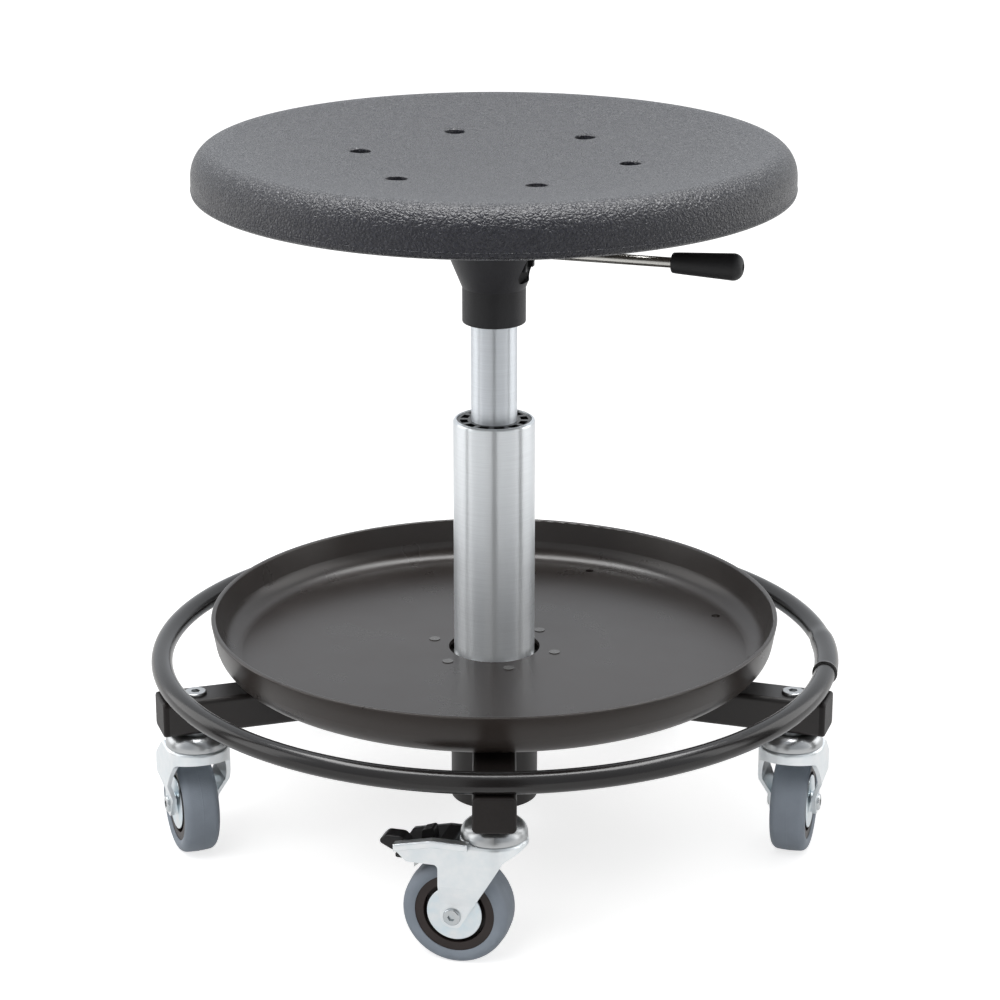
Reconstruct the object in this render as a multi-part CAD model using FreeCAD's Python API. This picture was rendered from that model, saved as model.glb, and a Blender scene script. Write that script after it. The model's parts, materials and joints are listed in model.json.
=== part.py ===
import FreeCAD, Part
import math
import os
from FreeCAD import Vector

# Millimetres. The floor is z = 0, the column stands on the Z axis and the front arm points to -Y.

# Clearances
RUN = 0.05          # radial running fit of shafts, bushes and pins
SLIP = 0.1          # loose assembly fit, each side
AIR = 0.3           # gap between parts that pass each other
END_GAP = 2.0       # spare travel at each end of the gas spring
EDGE_ROUND = 1.2    # softened edge of small turned and moulded parts

# Five-arm base
ARM_SIDES = ("front", "right", "rear_right", "rear_left", "left")
FRONT_ANGLE = -90.0
ARM_WIDTH = 25.0
ARM_HEIGHT = 22.0
ARM_WALL = 2.0
ARM_CORNER = 3.0
ARM_REACH = 209.0
CAP_FLANGE = 3.5
CAP_PLUG = 10.0
CAP_ROUND = 1.5
HUB_WALL = 2.0
HUB_BOTTOM = 20.0
HUB_ABOVE_ARMS = 2.0

# Foot ring
RING_INSET = 3.0
RING_TUBE = 13.0
SOCKET_EXTRA = 0.9
SOCKET_START = -12.0
SOCKET_SWEEP = 14.0

# Tool tray
TRAY_RADIUS = 175.3
TRAY_FLARE = 5.0
TRAY_DEPTH = 24.5
TRAY_WALL = 3.0
TRAY_FILLET = 13.0
TRAY_RIB_HEIGHT = 5.0
TRAY_RIB_WIDTH = 2.5
TRAY_RIB_RADII = (62.0, 140.0)
TRAY_HOLE_GAP = 3.3
PIP_COUNT = 6
PIP_RADIUS = 3.4
PIP_HEIGHT = 0.4
PIP_CIRCLE = 39.0
PIP_START = 43.0
DRAIN_RADIUS = 2.8
DRAIN_CIRCLE = 151.0
DRAIN_ANGLES = (20.0, 65.0)

# Column and gas spring
COLUMN_DIAMETER = 50.0
COLUMN_WALL = 2.0
COLUMN_TOP = 267.0
COLUMN_PLATE = 3.0
COLUMN_RECESS = 4.0
COLUMN_ROUND = 1.8
CYLINDER_DIAMETER = 28.0
CYLINDER_WALL = 1.5
CYLINDER_TAPER = 0.6
BUSH_LENGTH = 70.0
BUSH_SET_DOWN = 0.8
BUSH_RING = 2.2
POCKET_COUNT = 12
POCKET_SWEEP = 20.0
POCKET_DEPTH = 10.0
LIFT_DOWN = 55.0
LIFT_UP = 65.0
ROD_DIAMETER = 10.0
NECK_DIAMETER = 8.0
ROD_END = 1.0
PISTON_LENGTH = 12.0
PISTON_GROOVE = 1.5
ROD_GUIDE_LENGTH = 16.0
RACE_THICKNESS = 2.0
RACE_RADIUS = 14.0
BALL_DIAMETER = 4.0
BALL_COUNT = 10
BALL_CIRCLE = 9.8
BUFFER_HEIGHT = 11.0
BUFFER_RADIUS = 11.0
CLIP_THICKNESS = 2.0
CLIP_RADIUS = 8.0
VALVE_LENGTH = 17.0
RELEASE_PIN_DIAMETER = 6.0

# Seat hub and release lever
SLEEVE_DIAMETER = 38.4
HUB_HEIGHT = 78.8
SLEEVE_HEIGHT = 21.8
SLEEVE_WALL = 2.2
SLEEVE_FLOOR = 2.0
CONE_HALF_ANGLE = 22.5
CONE_WALL = 4.0
SOCKET_DEPTH = 34.0
FLANGE_RADIUS = 66.0
FLANGE_THICKNESS = 5.0
LEVER_ANGLE = -17.0
LEVER_LIFT = 7.0
LEVER_ROD = 6.3
LEVER_ABOVE_SOCKET = 10.0
PIVOT_RADIUS = 18.0
PIVOT_PIN = 4.0
PIVOT_EYE = 10.0
EYE_LENGTH = 10.0
LUG_WIDTH = 4.0
LUG_LENGTH = 9.0
LEVER_TAIL = 3.5
GRIP_START = 109.0
GRIP_END = 151.5
GRIP_THIN = 11.9
GRIP_THICK = 16.7
GRIP_DOME = 5.8
ROD_IN_GRIP = 18.0
SLOT_WIDTH = 26.0
SLOT_RISE = 4.5
SLOT_CORNER = 6.0
SLOT_SPARE = 0.8

# Seat
SEAT_DIAMETER = 357.2
SEAT_BOTTOM = 406.4
SEAT_CREST = 30.0
CREST_INSET = 15.3
EDGE_DROP = 17.4
UNDERCUT_RISE = 5.0
UNDERCUT_INSET = 15.9
DISH_DEPTH = 11.6
DISH_RADIUS = 148.0
DISH_EDGE_DROP = 1.6
BOARD_DIAMETER = 290.0
BOARD_THICKNESS = 9.0
VENT_COUNT = 6
VENT_DIAMETER = 12.5
VENT_CIRCLE = 81.6
VENT_START = 47.2
SCREW_COUNT = 4
SCREW_CIRCLE = 54.0
SCREW_DIAMETER = 5.0
SCREW_HEAD = 9.0
SCREW_HEAD_HEIGHT = 3.0
SCREW_BITE = 7.0

# Casters
CASTER_HEIGHT = 89.0
CASTER_INSET = 19.0
CASTER_TURNS = (164.5, 75.0, 72.0, 104.0, 110.0)
TRAIL = 21.0
WHEEL_DIAMETER = 63.0
TYRE_WIDTH = 22.0
TYRE_SHOULDER = 4.5
TYRE_SIDE_STEP = 1.0
RIM_DIAMETER = 47.0
RIM_WIDTH = 19.0
RIM_THICKNESS = 5.0
WEB_THICKNESS = 6.0
WHEEL_HUB_DIAMETER = 18.0
WHEEL_HUB_WIDTH = 18.0
AXLE_DIAMETER = 8.0
AXLE_HEAD = 10.4
AXLE_HEAD_HEIGHT = 1.7
AXLE_SOCKET = 4.0
AXLE_SOCKET_DEPTH = 1.4
GUARD_DIAMETER = 32.6
GUARD_SHEET = 1.0
GUARD_BOSS = 13.0
LEG_SHEET = 2.5
LEG_HALF_WIDTH = 7.0
LEG_TIP_ROUND = 6.0
LEG_RAKE_INSET = 4.0
LEG_RAKE_TOP = 9.8
LEG_SHOULDER = 33.0
LEG_PINCH = 5.0
LEG_BEND_LOW = 7.0
LEG_BEND_HIGH = 20.5
CROWN_RADIUS = 19.6
CROWN_BACK = 11.0
CROWN_SKIRT = 9.0
CROWN_RIM = 3.5
PLAIN_RIM = 7.0
CROWN_ROUND = 2.2
SKIRT_CORNER = 6.0
CUP_RADIUS = 19.2
CUP_HEIGHT = 8.8
CUP_ROUND = 7.5
CUP_BOSS_RADIUS = 9.5
CUP_BOSS_HEIGHT = 1.2
BOLT_DIAMETER = 8.0
BOLT_HEAD = 13.6
BOLT_HEAD_HEIGHT = 1.8
BOLT_HEAD_ROUND = 1.0
BOLT_SOCKET = 5.0
BOLT_SOCKET_DEPTH = 1.4
BOLT_NUT = 13.0
BOLT_NUT_HEIGHT = 6.0
BOLT_END = 1.5

# Brake on the front caster
BRAKE_PRESS = 7.0
WING_REACH = 32.5
WING_DROP = 13.7
WING_RISE = 2.0
WING_SLOPE_START = 10.0
WING_SLOPE_FALL = 5.0
LIP_DEPTH = 4.5
LIP_WIDTH = 3.0
LIP_ROUND = 1.2
BRAKE_PIVOT_X = 9.5
BRAKE_PIVOT_DROP = 9.2
BRAKE_PIN = 4.8
PIN_END_WALL = 0.4
PEDAL_TIP = 47.0
PEDAL_TIP_WIDTH = 11.0
PEDAL_SET_DOWN = 7.0
PEDAL_THICKNESS = 8.0
PEDAL_HOOK = 4.5
NOSE_RISE = 4.2
NOSE_ROUND = 4.0
TAB_START = 12.5
TAB_LENGTH = 9.0
TAB_HEIGHT = 6.6
TAB_FALL = 2.3
TAB_WIDTH = 8.0
SHOE_START = 16.0
SHOE_LENGTH = 8.0
SHOE_WIDTH = 18.0

# Derived heights and radii
arm_top = CASTER_HEIGHT + ARM_HEIGHT
arm_middle = CASTER_HEIGHT + ARM_HEIGHT / 2
column_r = COLUMN_DIAMETER / 2
column_bore = column_r - COLUMN_WALL
column_bottom = HUB_BOTTOM + COLUMN_RECESS
hub_bore = column_r + RUN
hub_r = hub_bore + HUB_WALL
ring_radius = ARM_REACH - RING_INSET
caster_circle = ARM_REACH - CASTER_INSET
cylinder_r = CYLINDER_DIAMETER / 2
cylinder_bore = cylinder_r - CYLINDER_WALL
rod_r = ROD_DIAMETER / 2
neck_r = NECK_DIAMETER / 2
race_floor = column_bottom + COLUMN_PLATE
ball_floor = race_floor + RACE_THICKNESS
race_roof = ball_floor + BALL_DIAMETER + 2 * RUN
buffer_floor = race_roof + RACE_THICKNESS
buffer_top = buffer_floor + BUFFER_HEIGHT
cylinder_bottom = buffer_top + LIFT_DOWN + END_GAP
piston_bottom = cylinder_bottom + ROD_GUIDE_LENGTH + LIFT_UP + END_GAP
sleeve_r = SLEEVE_DIAMETER / 2
sleeve_bottom = SEAT_BOTTOM - HUB_HEIGHT
sleeve_top = sleeve_bottom + SLEEVE_HEIGHT
socket_r = sleeve_r - SLEEVE_WALL
socket_floor = sleeve_bottom + SLEEVE_FLOOR
socket_top = sleeve_bottom + SOCKET_DEPTH
lever_z = socket_top + LEVER_ABOVE_SOCKET
lever_r = LEVER_ROD / 2
pivot_r = PIVOT_PIN / 2
lift_slope = math.tan(math.radians(LEVER_LIFT))
release_travel = (PIVOT_RADIUS + RELEASE_PIN_DIAMETER / 2) * lift_slope
flange_bottom = SEAT_BOTTOM - FLANGE_THICKNESS
board_top = SEAT_BOTTOM + BOARD_THICKNESS
seat_r = SEAT_DIAMETER / 2
seat_top = SEAT_BOTTOM + SEAT_CREST
tray_floor = arm_top + TRAY_RIB_HEIGHT
wheel_r = WHEEL_DIAMETER / 2
rim_r = RIM_DIAMETER / 2
axle_r = AXLE_DIAMETER / 2
bolt_r = BOLT_DIAMETER / 2
leg_outside = CROWN_RADIUS
leg_inside = leg_outside - LEG_SHEET
foot_outside = leg_outside - LEG_PINCH
foot_inside = leg_inside - LEG_PINCH
bend_high = wheel_r + LEG_BEND_HIGH
cup_floor = CASTER_HEIGHT - CUP_BOSS_HEIGHT - CUP_HEIGHT
crown_top = cup_floor - AIR
skirt_floor = crown_top - CROWN_SKIRT
guard_face = WHEEL_HUB_WIDTH / 2 + AIR
brake_x = TRAIL + BRAKE_PIVOT_X
brake_z = crown_top - BRAKE_PIVOT_DROP
wing_floor = crown_top - WING_DROP
wing_top = crown_top + WING_RISE
wing_end = TRAIL + WING_REACH
wing_end_top = wing_top - WING_SLOPE_FALL
slope_start = TRAIL + WING_SLOPE_START
pedal_top = wing_top - PEDAL_SET_DOWN
pedal_end_top = wing_end_top - PEDAL_SET_DOWN
pedal_floor = pedal_top - PEDAL_THICKNESS
shoe_gap = 2 * AIR + math.radians(BRAKE_PRESS) * (SHOE_START + SHOE_LENGTH)

X_AXIS = Vector(1, 0, 0)
Z_AXIS = Vector(0, 0, 1)
Y_AXIS = Vector(0, 1, 0)
ORIGIN = Vector(0, 0, 0)


def profile(points):
    """Closed face in the XZ plane; a third number in a point is that corner's radius."""
    corners = [Vector(p[0], 0, p[1]) for p in points]
    radii = [p[2] if len(p) > 2 else 0.0 for p in points]
    starts, ends, middles = [], [], []
    for i, corner in enumerate(corners):
        before = (corners[i - 1] - corner).normalize()
        after = (corners[(i + 1) % len(corners)] - corner).normalize()
        half = before.getAngle(after) / 2
        setback = radii[i] / math.tan(half)
        starts.append(corner + before * setback)
        ends.append(corner + after * setback)
        inwards = (before + after).normalize()
        middles.append(corner + inwards * (radii[i] / math.sin(half) - radii[i]))
    edges = []
    for i in range(len(corners)):
        following = (i + 1) % len(corners)
        if radii[i] > 0:
            edges.append(Part.Arc(starts[i], middles[i], ends[i]).toShape())
        if (starts[following] - ends[i]).Length > 1e-6:
            edges.append(Part.LineSegment(ends[i], starts[following]).toShape())
    return Part.Face(Part.Wire(edges))


def turned(points):
    """Solid of revolution about Z from (radius, height) points."""
    return profile(points).revolve(ORIGIN, Z_AXIS, 360)


def ring(outer, inner, bottom, top):
    """Plain tube or washer on the Z axis."""
    return turned([(inner, bottom), (outer, bottom), (outer, top), (inner, top)])


def rod(radius, bottom, top, x=0.0, y=0.0):
    """Upright round bar."""
    return Part.makeCylinder(radius, top - bottom, Vector(x, y, bottom))


def plate(points, low, high):
    """Side outline in XZ made as thick as from y = low to y = high."""
    flat = profile(points)
    flat.translate(Vector(0, low, 0))
    return flat.extrude(Vector(0, high - low, 0))


def block(low, high):
    """Box between two corners."""
    size = [b - a for a, b in zip(low, high)]
    return Part.makeBox(size[0], size[1], size[2], Vector(*low))


def cross_bar(radius, x, z, low, high):
    """Round bar along Y."""
    return Part.makeCylinder(radius, high - low, Vector(x, low, z), Y_AXIS)


def hexagon(across_flats, bottom, top):
    """Upright hexagonal prism."""
    corner = across_flats / math.sqrt(3)
    points = [Vector(corner * math.cos(a), corner * math.sin(a), bottom)
              for a in (math.radians(60 * i) for i in range(7))]
    return Part.Face(Part.makePolygon(points)).extrude(Vector(0, 0, top - bottom))


def spun(shape, angle):
    """Copy turned about the Z axis."""
    copy = shape.copy()
    copy.rotate(ORIGIN, Z_AXIS, angle)
    return copy


def laid_on_y(shape):
    """Copy whose Z axis is laid along Y, at the wheel's centre."""
    copy = shape.copy()
    copy.rotate(ORIGIN, X_AXIS, -90)
    copy.translate(Vector(TRAIL, 0, wheel_r))
    return copy


def fan(shape, count, start=0.0):
    """Copies of a shape spread evenly round the Z axis."""
    return [spun(shape, start + 360.0 * i / count) for i in range(count)]


def arm_angle(index):
    return FRONT_ANGLE + 360.0 * index / len(ARM_SIDES)


def at_arms(shape):
    """Copies of a shape drawn on the swivel axis, one at each arm."""
    moved = shape.copy()
    moved.translate(Vector(caster_circle, 0, 0))
    return [spun(moved, arm_angle(i)) for i in range(len(ARM_SIDES))]


# Base

def hub_tube():
    return ring(hub_r, hub_bore, HUB_BOTTOM, arm_top + HUB_ABOVE_ARMS)


def box_section(width, height, corner, start, end, middle):
    """Rounded rectangular bar along +X, with its centre line at height middle."""
    half = width / 2
    low = middle - height / 2
    high = middle + height / 2
    face = profile([(-half, low, corner), (half, low, corner), (half, high, corner), (-half, high, corner)])
    face.rotate(ORIGIN, Z_AXIS, 90)
    face.translate(Vector(start, 0, 0))
    return face.extrude(Vector(end - start, 0, 0))


def arm():
    inner_width = ARM_WIDTH - 2 * ARM_WALL
    inner_height = ARM_HEIGHT - 2 * ARM_WALL
    outside = box_section(ARM_WIDTH, ARM_HEIGHT, ARM_CORNER, 0, ARM_REACH, arm_middle)
    inside = box_section(inner_width, inner_height, ARM_CORNER - ARM_WALL, 0, ARM_REACH, arm_middle)
    hub_room = rod(hub_r, 0, arm_top + ARM_HEIGHT)
    bolt_hole = rod(bolt_r + SLIP, 0, arm_top + ARM_HEIGHT, caster_circle)
    return outside.cut(inside).cut(hub_room).cut(bolt_hole)


def arm_end_cap():
    plug_width = ARM_WIDTH - 2 * ARM_WALL - 2 * SLIP
    plug_height = ARM_HEIGHT - 2 * ARM_WALL - 2 * SLIP
    flange_end = ARM_REACH + CAP_FLANGE
    flange = box_section(ARM_WIDTH, ARM_HEIGHT, ARM_CORNER, ARM_REACH, flange_end, arm_middle)
    outer_edges = [e for e in flange.Edges if abs(e.BoundBox.XMin - flange_end) < 1e-6]
    flange = flange.makeFillet(CAP_ROUND, outer_edges)
    plug_start = ARM_REACH - CAP_PLUG
    plug = box_section(plug_width, plug_height, ARM_CORNER - ARM_WALL, plug_start, ARM_REACH, arm_middle)
    return flange.fuse(plug).removeSplitter()


def foot_ring():
    """Bent tube closed by a socket: one end is widened over the other."""
    tube_r = RING_TUBE / 2
    height = arm_top + tube_r
    tube = Part.makeTorus(ring_radius, tube_r)
    socket = Part.makeTorus(ring_radius, tube_r + SOCKET_EXTRA, ORIGIN, Z_AXIS, 0, 360, SOCKET_SWEEP)
    whole = tube.fuse(spun(socket, SOCKET_START))
    whole.translate(Vector(0, 0, height))
    return whole


def tool_tray():
    """Moulded dish with a flared wall, two ribs below and a row of gate marks on its floor."""
    rim = tray_floor + TRAY_WALL + TRAY_DEPTH
    floor_top = tray_floor + TRAY_WALL
    hole = column_r + TRAY_HOLE_GAP
    inner_rim = TRAY_RADIUS - TRAY_WALL
    foot = TRAY_RADIUS - TRAY_FLARE
    dish = turned([
        (hole, tray_floor), (foot, tray_floor, TRAY_FILLET + TRAY_WALL), (TRAY_RADIUS, rim, TRAY_WALL / 3),
        (inner_rim, rim, TRAY_WALL / 3), (foot - TRAY_WALL, floor_top, TRAY_FILLET), (hole, floor_top)])
    half_rib = TRAY_RIB_WIDTH / 2
    ribs = [ring(r + half_rib, r - half_rib, arm_top, tray_floor) for r in TRAY_RIB_RADII]
    pips = fan(rod(PIP_RADIUS, floor_top, floor_top + PIP_HEIGHT, PIP_CIRCLE), PIP_COUNT, PIP_START)
    drain = rod(DRAIN_RADIUS, arm_top, rim, DRAIN_CIRCLE)
    dish = dish.fuse(ribs + pips)
    return dish.cut([spun(drain, angle) for angle in DRAIN_ANGLES]).removeSplitter()


# Column and gas spring

def column_tube():
    neck_hole = neck_r + RUN
    return turned([
        (neck_hole, column_bottom), (column_r, column_bottom), (column_r, COLUMN_TOP, COLUMN_ROUND),
        (column_bore, COLUMN_TOP), (column_bore, race_floor), (neck_hole, race_floor)])


def guide_bush():
    """Plastic bush with a ring of webbed pockets in its top face."""
    top = COLUMN_TOP - BUSH_SET_DOWN
    bore = cylinder_r + RUN
    body = ring(column_bore, bore, top - BUSH_LENGTH, top)
    pocket = Part.makeCylinder(column_bore - BUSH_RING, POCKET_DEPTH, ORIGIN, Z_AXIS, POCKET_SWEEP)
    core = rod(bore + BUSH_RING, 0, POCKET_DEPTH)
    pocket = pocket.cut(core)
    pocket.translate(Vector(0, 0, top - POCKET_DEPTH))
    return body.cut(fan(pocket, POCKET_COUNT))


def bearing_race(bottom, bore):
    return ring(RACE_RADIUS, bore, bottom, bottom + RACE_THICKNESS)


def bearing_balls():
    ball = Part.makeSphere(BALL_DIAMETER / 2, Vector(BALL_CIRCLE, 0, ball_floor + BALL_DIAMETER / 2))
    return Part.makeCompound(fan(ball, BALL_COUNT))


def piston_rod():
    bottom = column_bottom - CLIP_THICKNESS - AIR - ROD_END
    return turned([
        (0, bottom), (neck_r, bottom), (neck_r, buffer_floor), (rod_r, buffer_floor),
        (rod_r, piston_bottom), (0, piston_bottom)])


def piston():
    top = piston_bottom + PISTON_LENGTH
    face = cylinder_bore - RUN
    groove = face - PISTON_GROOVE
    groove_bottom = piston_bottom + PISTON_LENGTH / 3
    groove_top = top - PISTON_LENGTH / 3
    return turned([
        (0, piston_bottom), (face, piston_bottom), (face, groove_bottom), (groove, groove_bottom),
        (groove, groove_top), (face, groove_top), (face, top), (0, top)])


def rubber_buffer():
    return turned([
        (rod_r + RUN, buffer_floor), (BUFFER_RADIUS, buffer_floor, EDGE_ROUND),
        (BUFFER_RADIUS, buffer_top, EDGE_ROUND),
        (rod_r + RUN, buffer_top)])


def retaining_clip():
    top = column_bottom - AIR
    clip = ring(CLIP_RADIUS, neck_r, top - CLIP_THICKNESS, top)
    mouth_half = neck_r - EDGE_ROUND
    mouth = block((0, -mouth_half, 0), (CLIP_RADIUS * 2, mouth_half, column_bottom))
    return clip.cut(mouth)


def gas_cylinder():
    tip = cylinder_r - CYLINDER_TAPER
    return turned([
        (cylinder_bore, cylinder_bottom), (cylinder_r, cylinder_bottom, CYLINDER_WALL / 2),
        (cylinder_r, socket_floor),
        (tip, socket_top), (cylinder_bore, socket_top)])


def rod_guide():
    return ring(cylinder_bore, rod_r + RUN, cylinder_bottom, cylinder_bottom + ROD_GUIDE_LENGTH)


def valve_body():
    bore = RELEASE_PIN_DIAMETER / 2 + RUN
    bottom = socket_top - VALVE_LENGTH
    well = bottom + END_GAP
    return turned([(0, bottom), (cylinder_bore, bottom), (cylinder_bore, socket_top), (bore, socket_top),
                   (bore, well), (0, well)])


def release_pin():
    bottom = socket_top - VALVE_LENGTH + 2 * END_GAP + release_travel
    top = lever_z - lever_r - AIR
    radius = RELEASE_PIN_DIAMETER / 2
    return turned([(0, bottom), (radius, bottom), (radius, top, EDGE_ROUND), (0, top)])


# Seat hub and release lever

def cone_radius(height):
    return sleeve_r + (height - sleeve_top) * math.tan(math.radians(CONE_HALF_ANGLE))


def hub_cone():
    """Cast hub: taper socket below, hollow cone with a lever slot and pivot lugs, screw flange on top."""
    bore_top = cylinder_r - CYLINDER_TAPER
    cone_top = cone_radius(flange_bottom)
    hollow_top = cone_radius(SEAT_BOTTOM) - CONE_WALL
    hollow_floor = cone_radius(socket_top) - CONE_WALL
    body = turned([
        (cylinder_r, socket_floor), (socket_r, socket_floor), (socket_r, sleeve_top), (sleeve_r, sleeve_top),
        (cone_top, flange_bottom, CONE_WALL), (FLANGE_RADIUS, flange_bottom),
        (FLANGE_RADIUS, SEAT_BOTTOM, FLANGE_THICKNESS / 3), (hollow_top, SEAT_BOTTOM),
        (hollow_floor, socket_top), (bore_top, socket_top)])
    lug_inner = EYE_LENGTH / 2 + AIR
    lug_outer = lug_inner + LUG_WIDTH
    lug_top = lever_z + PIVOT_EYE / 2
    lug_start = PIVOT_RADIUS - LUG_LENGTH / 2
    lug_end = PIVOT_RADIUS + LUG_LENGTH / 2
    lugs = [block((lug_start, low, socket_top), (lug_end, high, lug_top))
            for low, high in ((lug_inner, lug_outer), (-lug_outer, -lug_inner))]
    pin_hole = cross_bar(pivot_r + RUN, PIVOT_RADIUS, lever_z, -lug_outer, lug_outer)
    slot_low = sleeve_top + SLOT_RISE
    swing = (cone_radius(lever_z) - PIVOT_RADIUS) * lift_slope
    slot_high = lever_z + lever_r + AIR + SLOT_SPARE + swing
    slot_middle = (slot_low + slot_high) / 2
    slot = box_section(
        SLOT_WIDTH, slot_high - slot_low, SLOT_CORNER, PIVOT_RADIUS, FLANGE_RADIUS, slot_middle)
    screw_hole = rod(SCREW_DIAMETER / 2 + SLIP, flange_bottom, SEAT_BOTTOM, SCREW_CIRCLE)
    body = spun(body.cut(slot).fuse(lugs).cut(pin_hole), LEVER_ANGLE)
    return body.cut(fan(screw_hole, SCREW_COUNT)).removeSplitter()


def hub_sleeve():
    return turned([
        (cylinder_r + SLIP, sleeve_bottom), (sleeve_r, sleeve_bottom, EDGE_ROUND), (sleeve_r, sleeve_top),
        (socket_r, sleeve_top), (socket_r, socket_floor), (cylinder_r + SLIP, socket_floor)])


def lever_pivot_pin():
    half = EYE_LENGTH / 2 + AIR + LUG_WIDTH
    return spun(cross_bar(pivot_r, PIVOT_RADIUS, lever_z, -half, half), LEVER_ANGLE)


def lever_rod():
    length = GRIP_START + ROD_IN_GRIP + LEVER_TAIL
    bar = Part.makeCylinder(lever_r, length, Vector(-LEVER_TAIL, 0, lever_z), X_AXIS)
    eye = cross_bar(PIVOT_EYE / 2, PIVOT_RADIUS, lever_z, -EYE_LENGTH / 2, EYE_LENGTH / 2)
    bore = cross_bar(pivot_r + RUN, PIVOT_RADIUS, lever_z, -EYE_LENGTH, EYE_LENGTH)
    return spun(bar.fuse(eye).cut(bore).removeSplitter(), LEVER_ANGLE)


def lever_grip():
    """Tapered handle with a domed end, turned about the rod."""
    thin = GRIP_THIN / 2
    thick = GRIP_THICK / 2
    rod_end = GRIP_START + ROD_IN_GRIP
    body = turned([
        (lever_r, GRIP_START), (thin, GRIP_START, EDGE_ROUND), (thick, GRIP_END, GRIP_DOME), (0, GRIP_END),
        (0, rod_end), (lever_r, rod_end)])
    body.rotate(ORIGIN, Y_AXIS, 90)
    body.translate(Vector(0, 0, lever_z))
    return spun(body, LEVER_ANGLE)


# Seat

def vents(bottom, top):
    return fan(rod(VENT_DIAMETER / 2, bottom, top, VENT_CIRCLE), VENT_COUNT, VENT_START)


def seat_pad():
    """Moulded pad: dished top, full rounded edge, drawn-in underside and a recess for the board."""
    recess_r = BOARD_DIAMETER / 2 + SLIP
    recess_z = board_top + SLIP
    crest = Vector(seat_r - CREST_INSET, 0, seat_top)
    side_high = Vector(seat_r, 0, seat_top - EDGE_DROP)
    side_low = Vector(seat_r, 0, SEAT_BOTTOM + UNDERCUT_RISE)
    bottom = Vector(seat_r - UNDERCUT_INSET, 0, SEAT_BOTTOM)
    dish_edge = Vector(DISH_RADIUS, 0, seat_top - DISH_EDGE_DROP)
    centre = Vector(0, 0, seat_top - DISH_DEPTH)
    quarter = math.sqrt(0.5)
    edge_middle = Vector(crest.x + CREST_INSET * quarter, 0, side_high.z + EDGE_DROP * quarter)
    under_middle = Vector(bottom.x + UNDERCUT_INSET * quarter, 0, side_low.z - UNDERCUT_RISE * quarter)
    dish_middle = Vector(dish_edge.x / 2, 0, centre.z + (dish_edge.z - centre.z) / 4)
    lip_middle = Vector((dish_edge.x + crest.x) / 2, 0, crest.z - DISH_EDGE_DROP / 4)
    inner_wall = Vector(recess_r, 0, SEAT_BOTTOM)
    recess_corner = Vector(recess_r, 0, recess_z)
    roof_centre = Vector(0, 0, recess_z)
    edges = [
        Part.Arc(centre, dish_middle, dish_edge), Part.Arc(dish_edge, lip_middle, crest),
        Part.Arc(crest, edge_middle, side_high), Part.LineSegment(side_high, side_low),
        Part.Arc(side_low, under_middle, bottom), Part.LineSegment(bottom, inner_wall),
        Part.LineSegment(inner_wall, recess_corner), Part.LineSegment(recess_corner, roof_centre),
        Part.LineSegment(roof_centre, centre)]
    face = Part.Face(Part.Wire([edge.toShape() for edge in edges]))
    return face.revolve(ORIGIN, Z_AXIS, 360).cut(vents(SEAT_BOTTOM, seat_top))


def seat_board():
    board = rod(BOARD_DIAMETER / 2, SEAT_BOTTOM, board_top)
    pilot = rod(SCREW_DIAMETER / 2, SEAT_BOTTOM, SEAT_BOTTOM + SCREW_BITE, SCREW_CIRCLE)
    return board.cut(vents(SEAT_BOTTOM, board_top) + fan(pilot, SCREW_COUNT))


def seat_screws():
    shank = SCREW_DIAMETER / 2
    head = SCREW_HEAD / 2
    head_bottom = flange_bottom - SCREW_HEAD_HEIGHT
    point = SEAT_BOTTOM + SCREW_BITE
    screw = turned([
        (0, head_bottom), (head, head_bottom, EDGE_ROUND), (head, flange_bottom), (shank, flange_bottom),
        (shank, point), (0, point)])
    screw.translate(Vector(SCREW_CIRCLE, 0, 0))
    return Part.makeCompound(fan(screw, SCREW_COUNT))


# Casters, drawn with the swivel axis on Z and the wheel trailing towards +X

def swivel_cup():
    boss_floor = CASTER_HEIGHT - CUP_BOSS_HEIGHT
    bore = bolt_r + SLIP
    return turned([
        (bore, cup_floor), (CUP_RADIUS, cup_floor), (CUP_RADIUS, boss_floor, CUP_ROUND),
        (CUP_BOSS_RADIUS, boss_floor), (CUP_BOSS_RADIUS, CASTER_HEIGHT), (bore, CASTER_HEIGHT)])


def caster_bolt():
    nut_top = crown_top - LEG_SHEET - AIR
    end = nut_top - BOLT_NUT_HEIGHT - BOLT_END
    head_top = arm_top + BOLT_HEAD_HEIGHT
    bolt = turned([
        (0, end), (bolt_r, end), (bolt_r, arm_top), (BOLT_HEAD / 2, arm_top),
        (BOLT_HEAD / 2, head_top, BOLT_HEAD_ROUND), (0, head_top)])
    return bolt.cut(hexagon(BOLT_SOCKET, head_top - BOLT_SOCKET_DEPTH, head_top + BOLT_SOCKET))


def caster_nut():
    top = crown_top - LEG_SHEET - AIR
    bottom = top - BOLT_NUT_HEIGHT
    return hexagon(BOLT_NUT, bottom, top).cut(rod(bolt_r, bottom, top))


def wing_start():
    """Where the raised wing clears the swivel cup."""
    return math.sqrt((CUP_RADIUS + 2 * AIR) ** 2 - leg_inside ** 2)


def fork_outline(rim):
    """Side outline of both legs and the front skirt, which deepens from its rim to the legs."""
    tip = wheel_r - LEG_HALF_WIDTH
    back = TRAIL + LEG_HALF_WIDTH
    shoulder = wheel_r + LEG_SHOULDER
    return [
        (TRAIL - LEG_RAKE_INSET, tip, LEG_TIP_ROUND / 2), (back, tip, LEG_TIP_ROUND),
        (back, shoulder, LEG_HALF_WIDTH), (CROWN_BACK, crown_top), (-CROWN_RADIUS, crown_top),
        (-CROWN_RADIUS, crown_top - rim), (-LEG_RAKE_TOP, skirt_floor, SKIRT_CORNER)]


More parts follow.
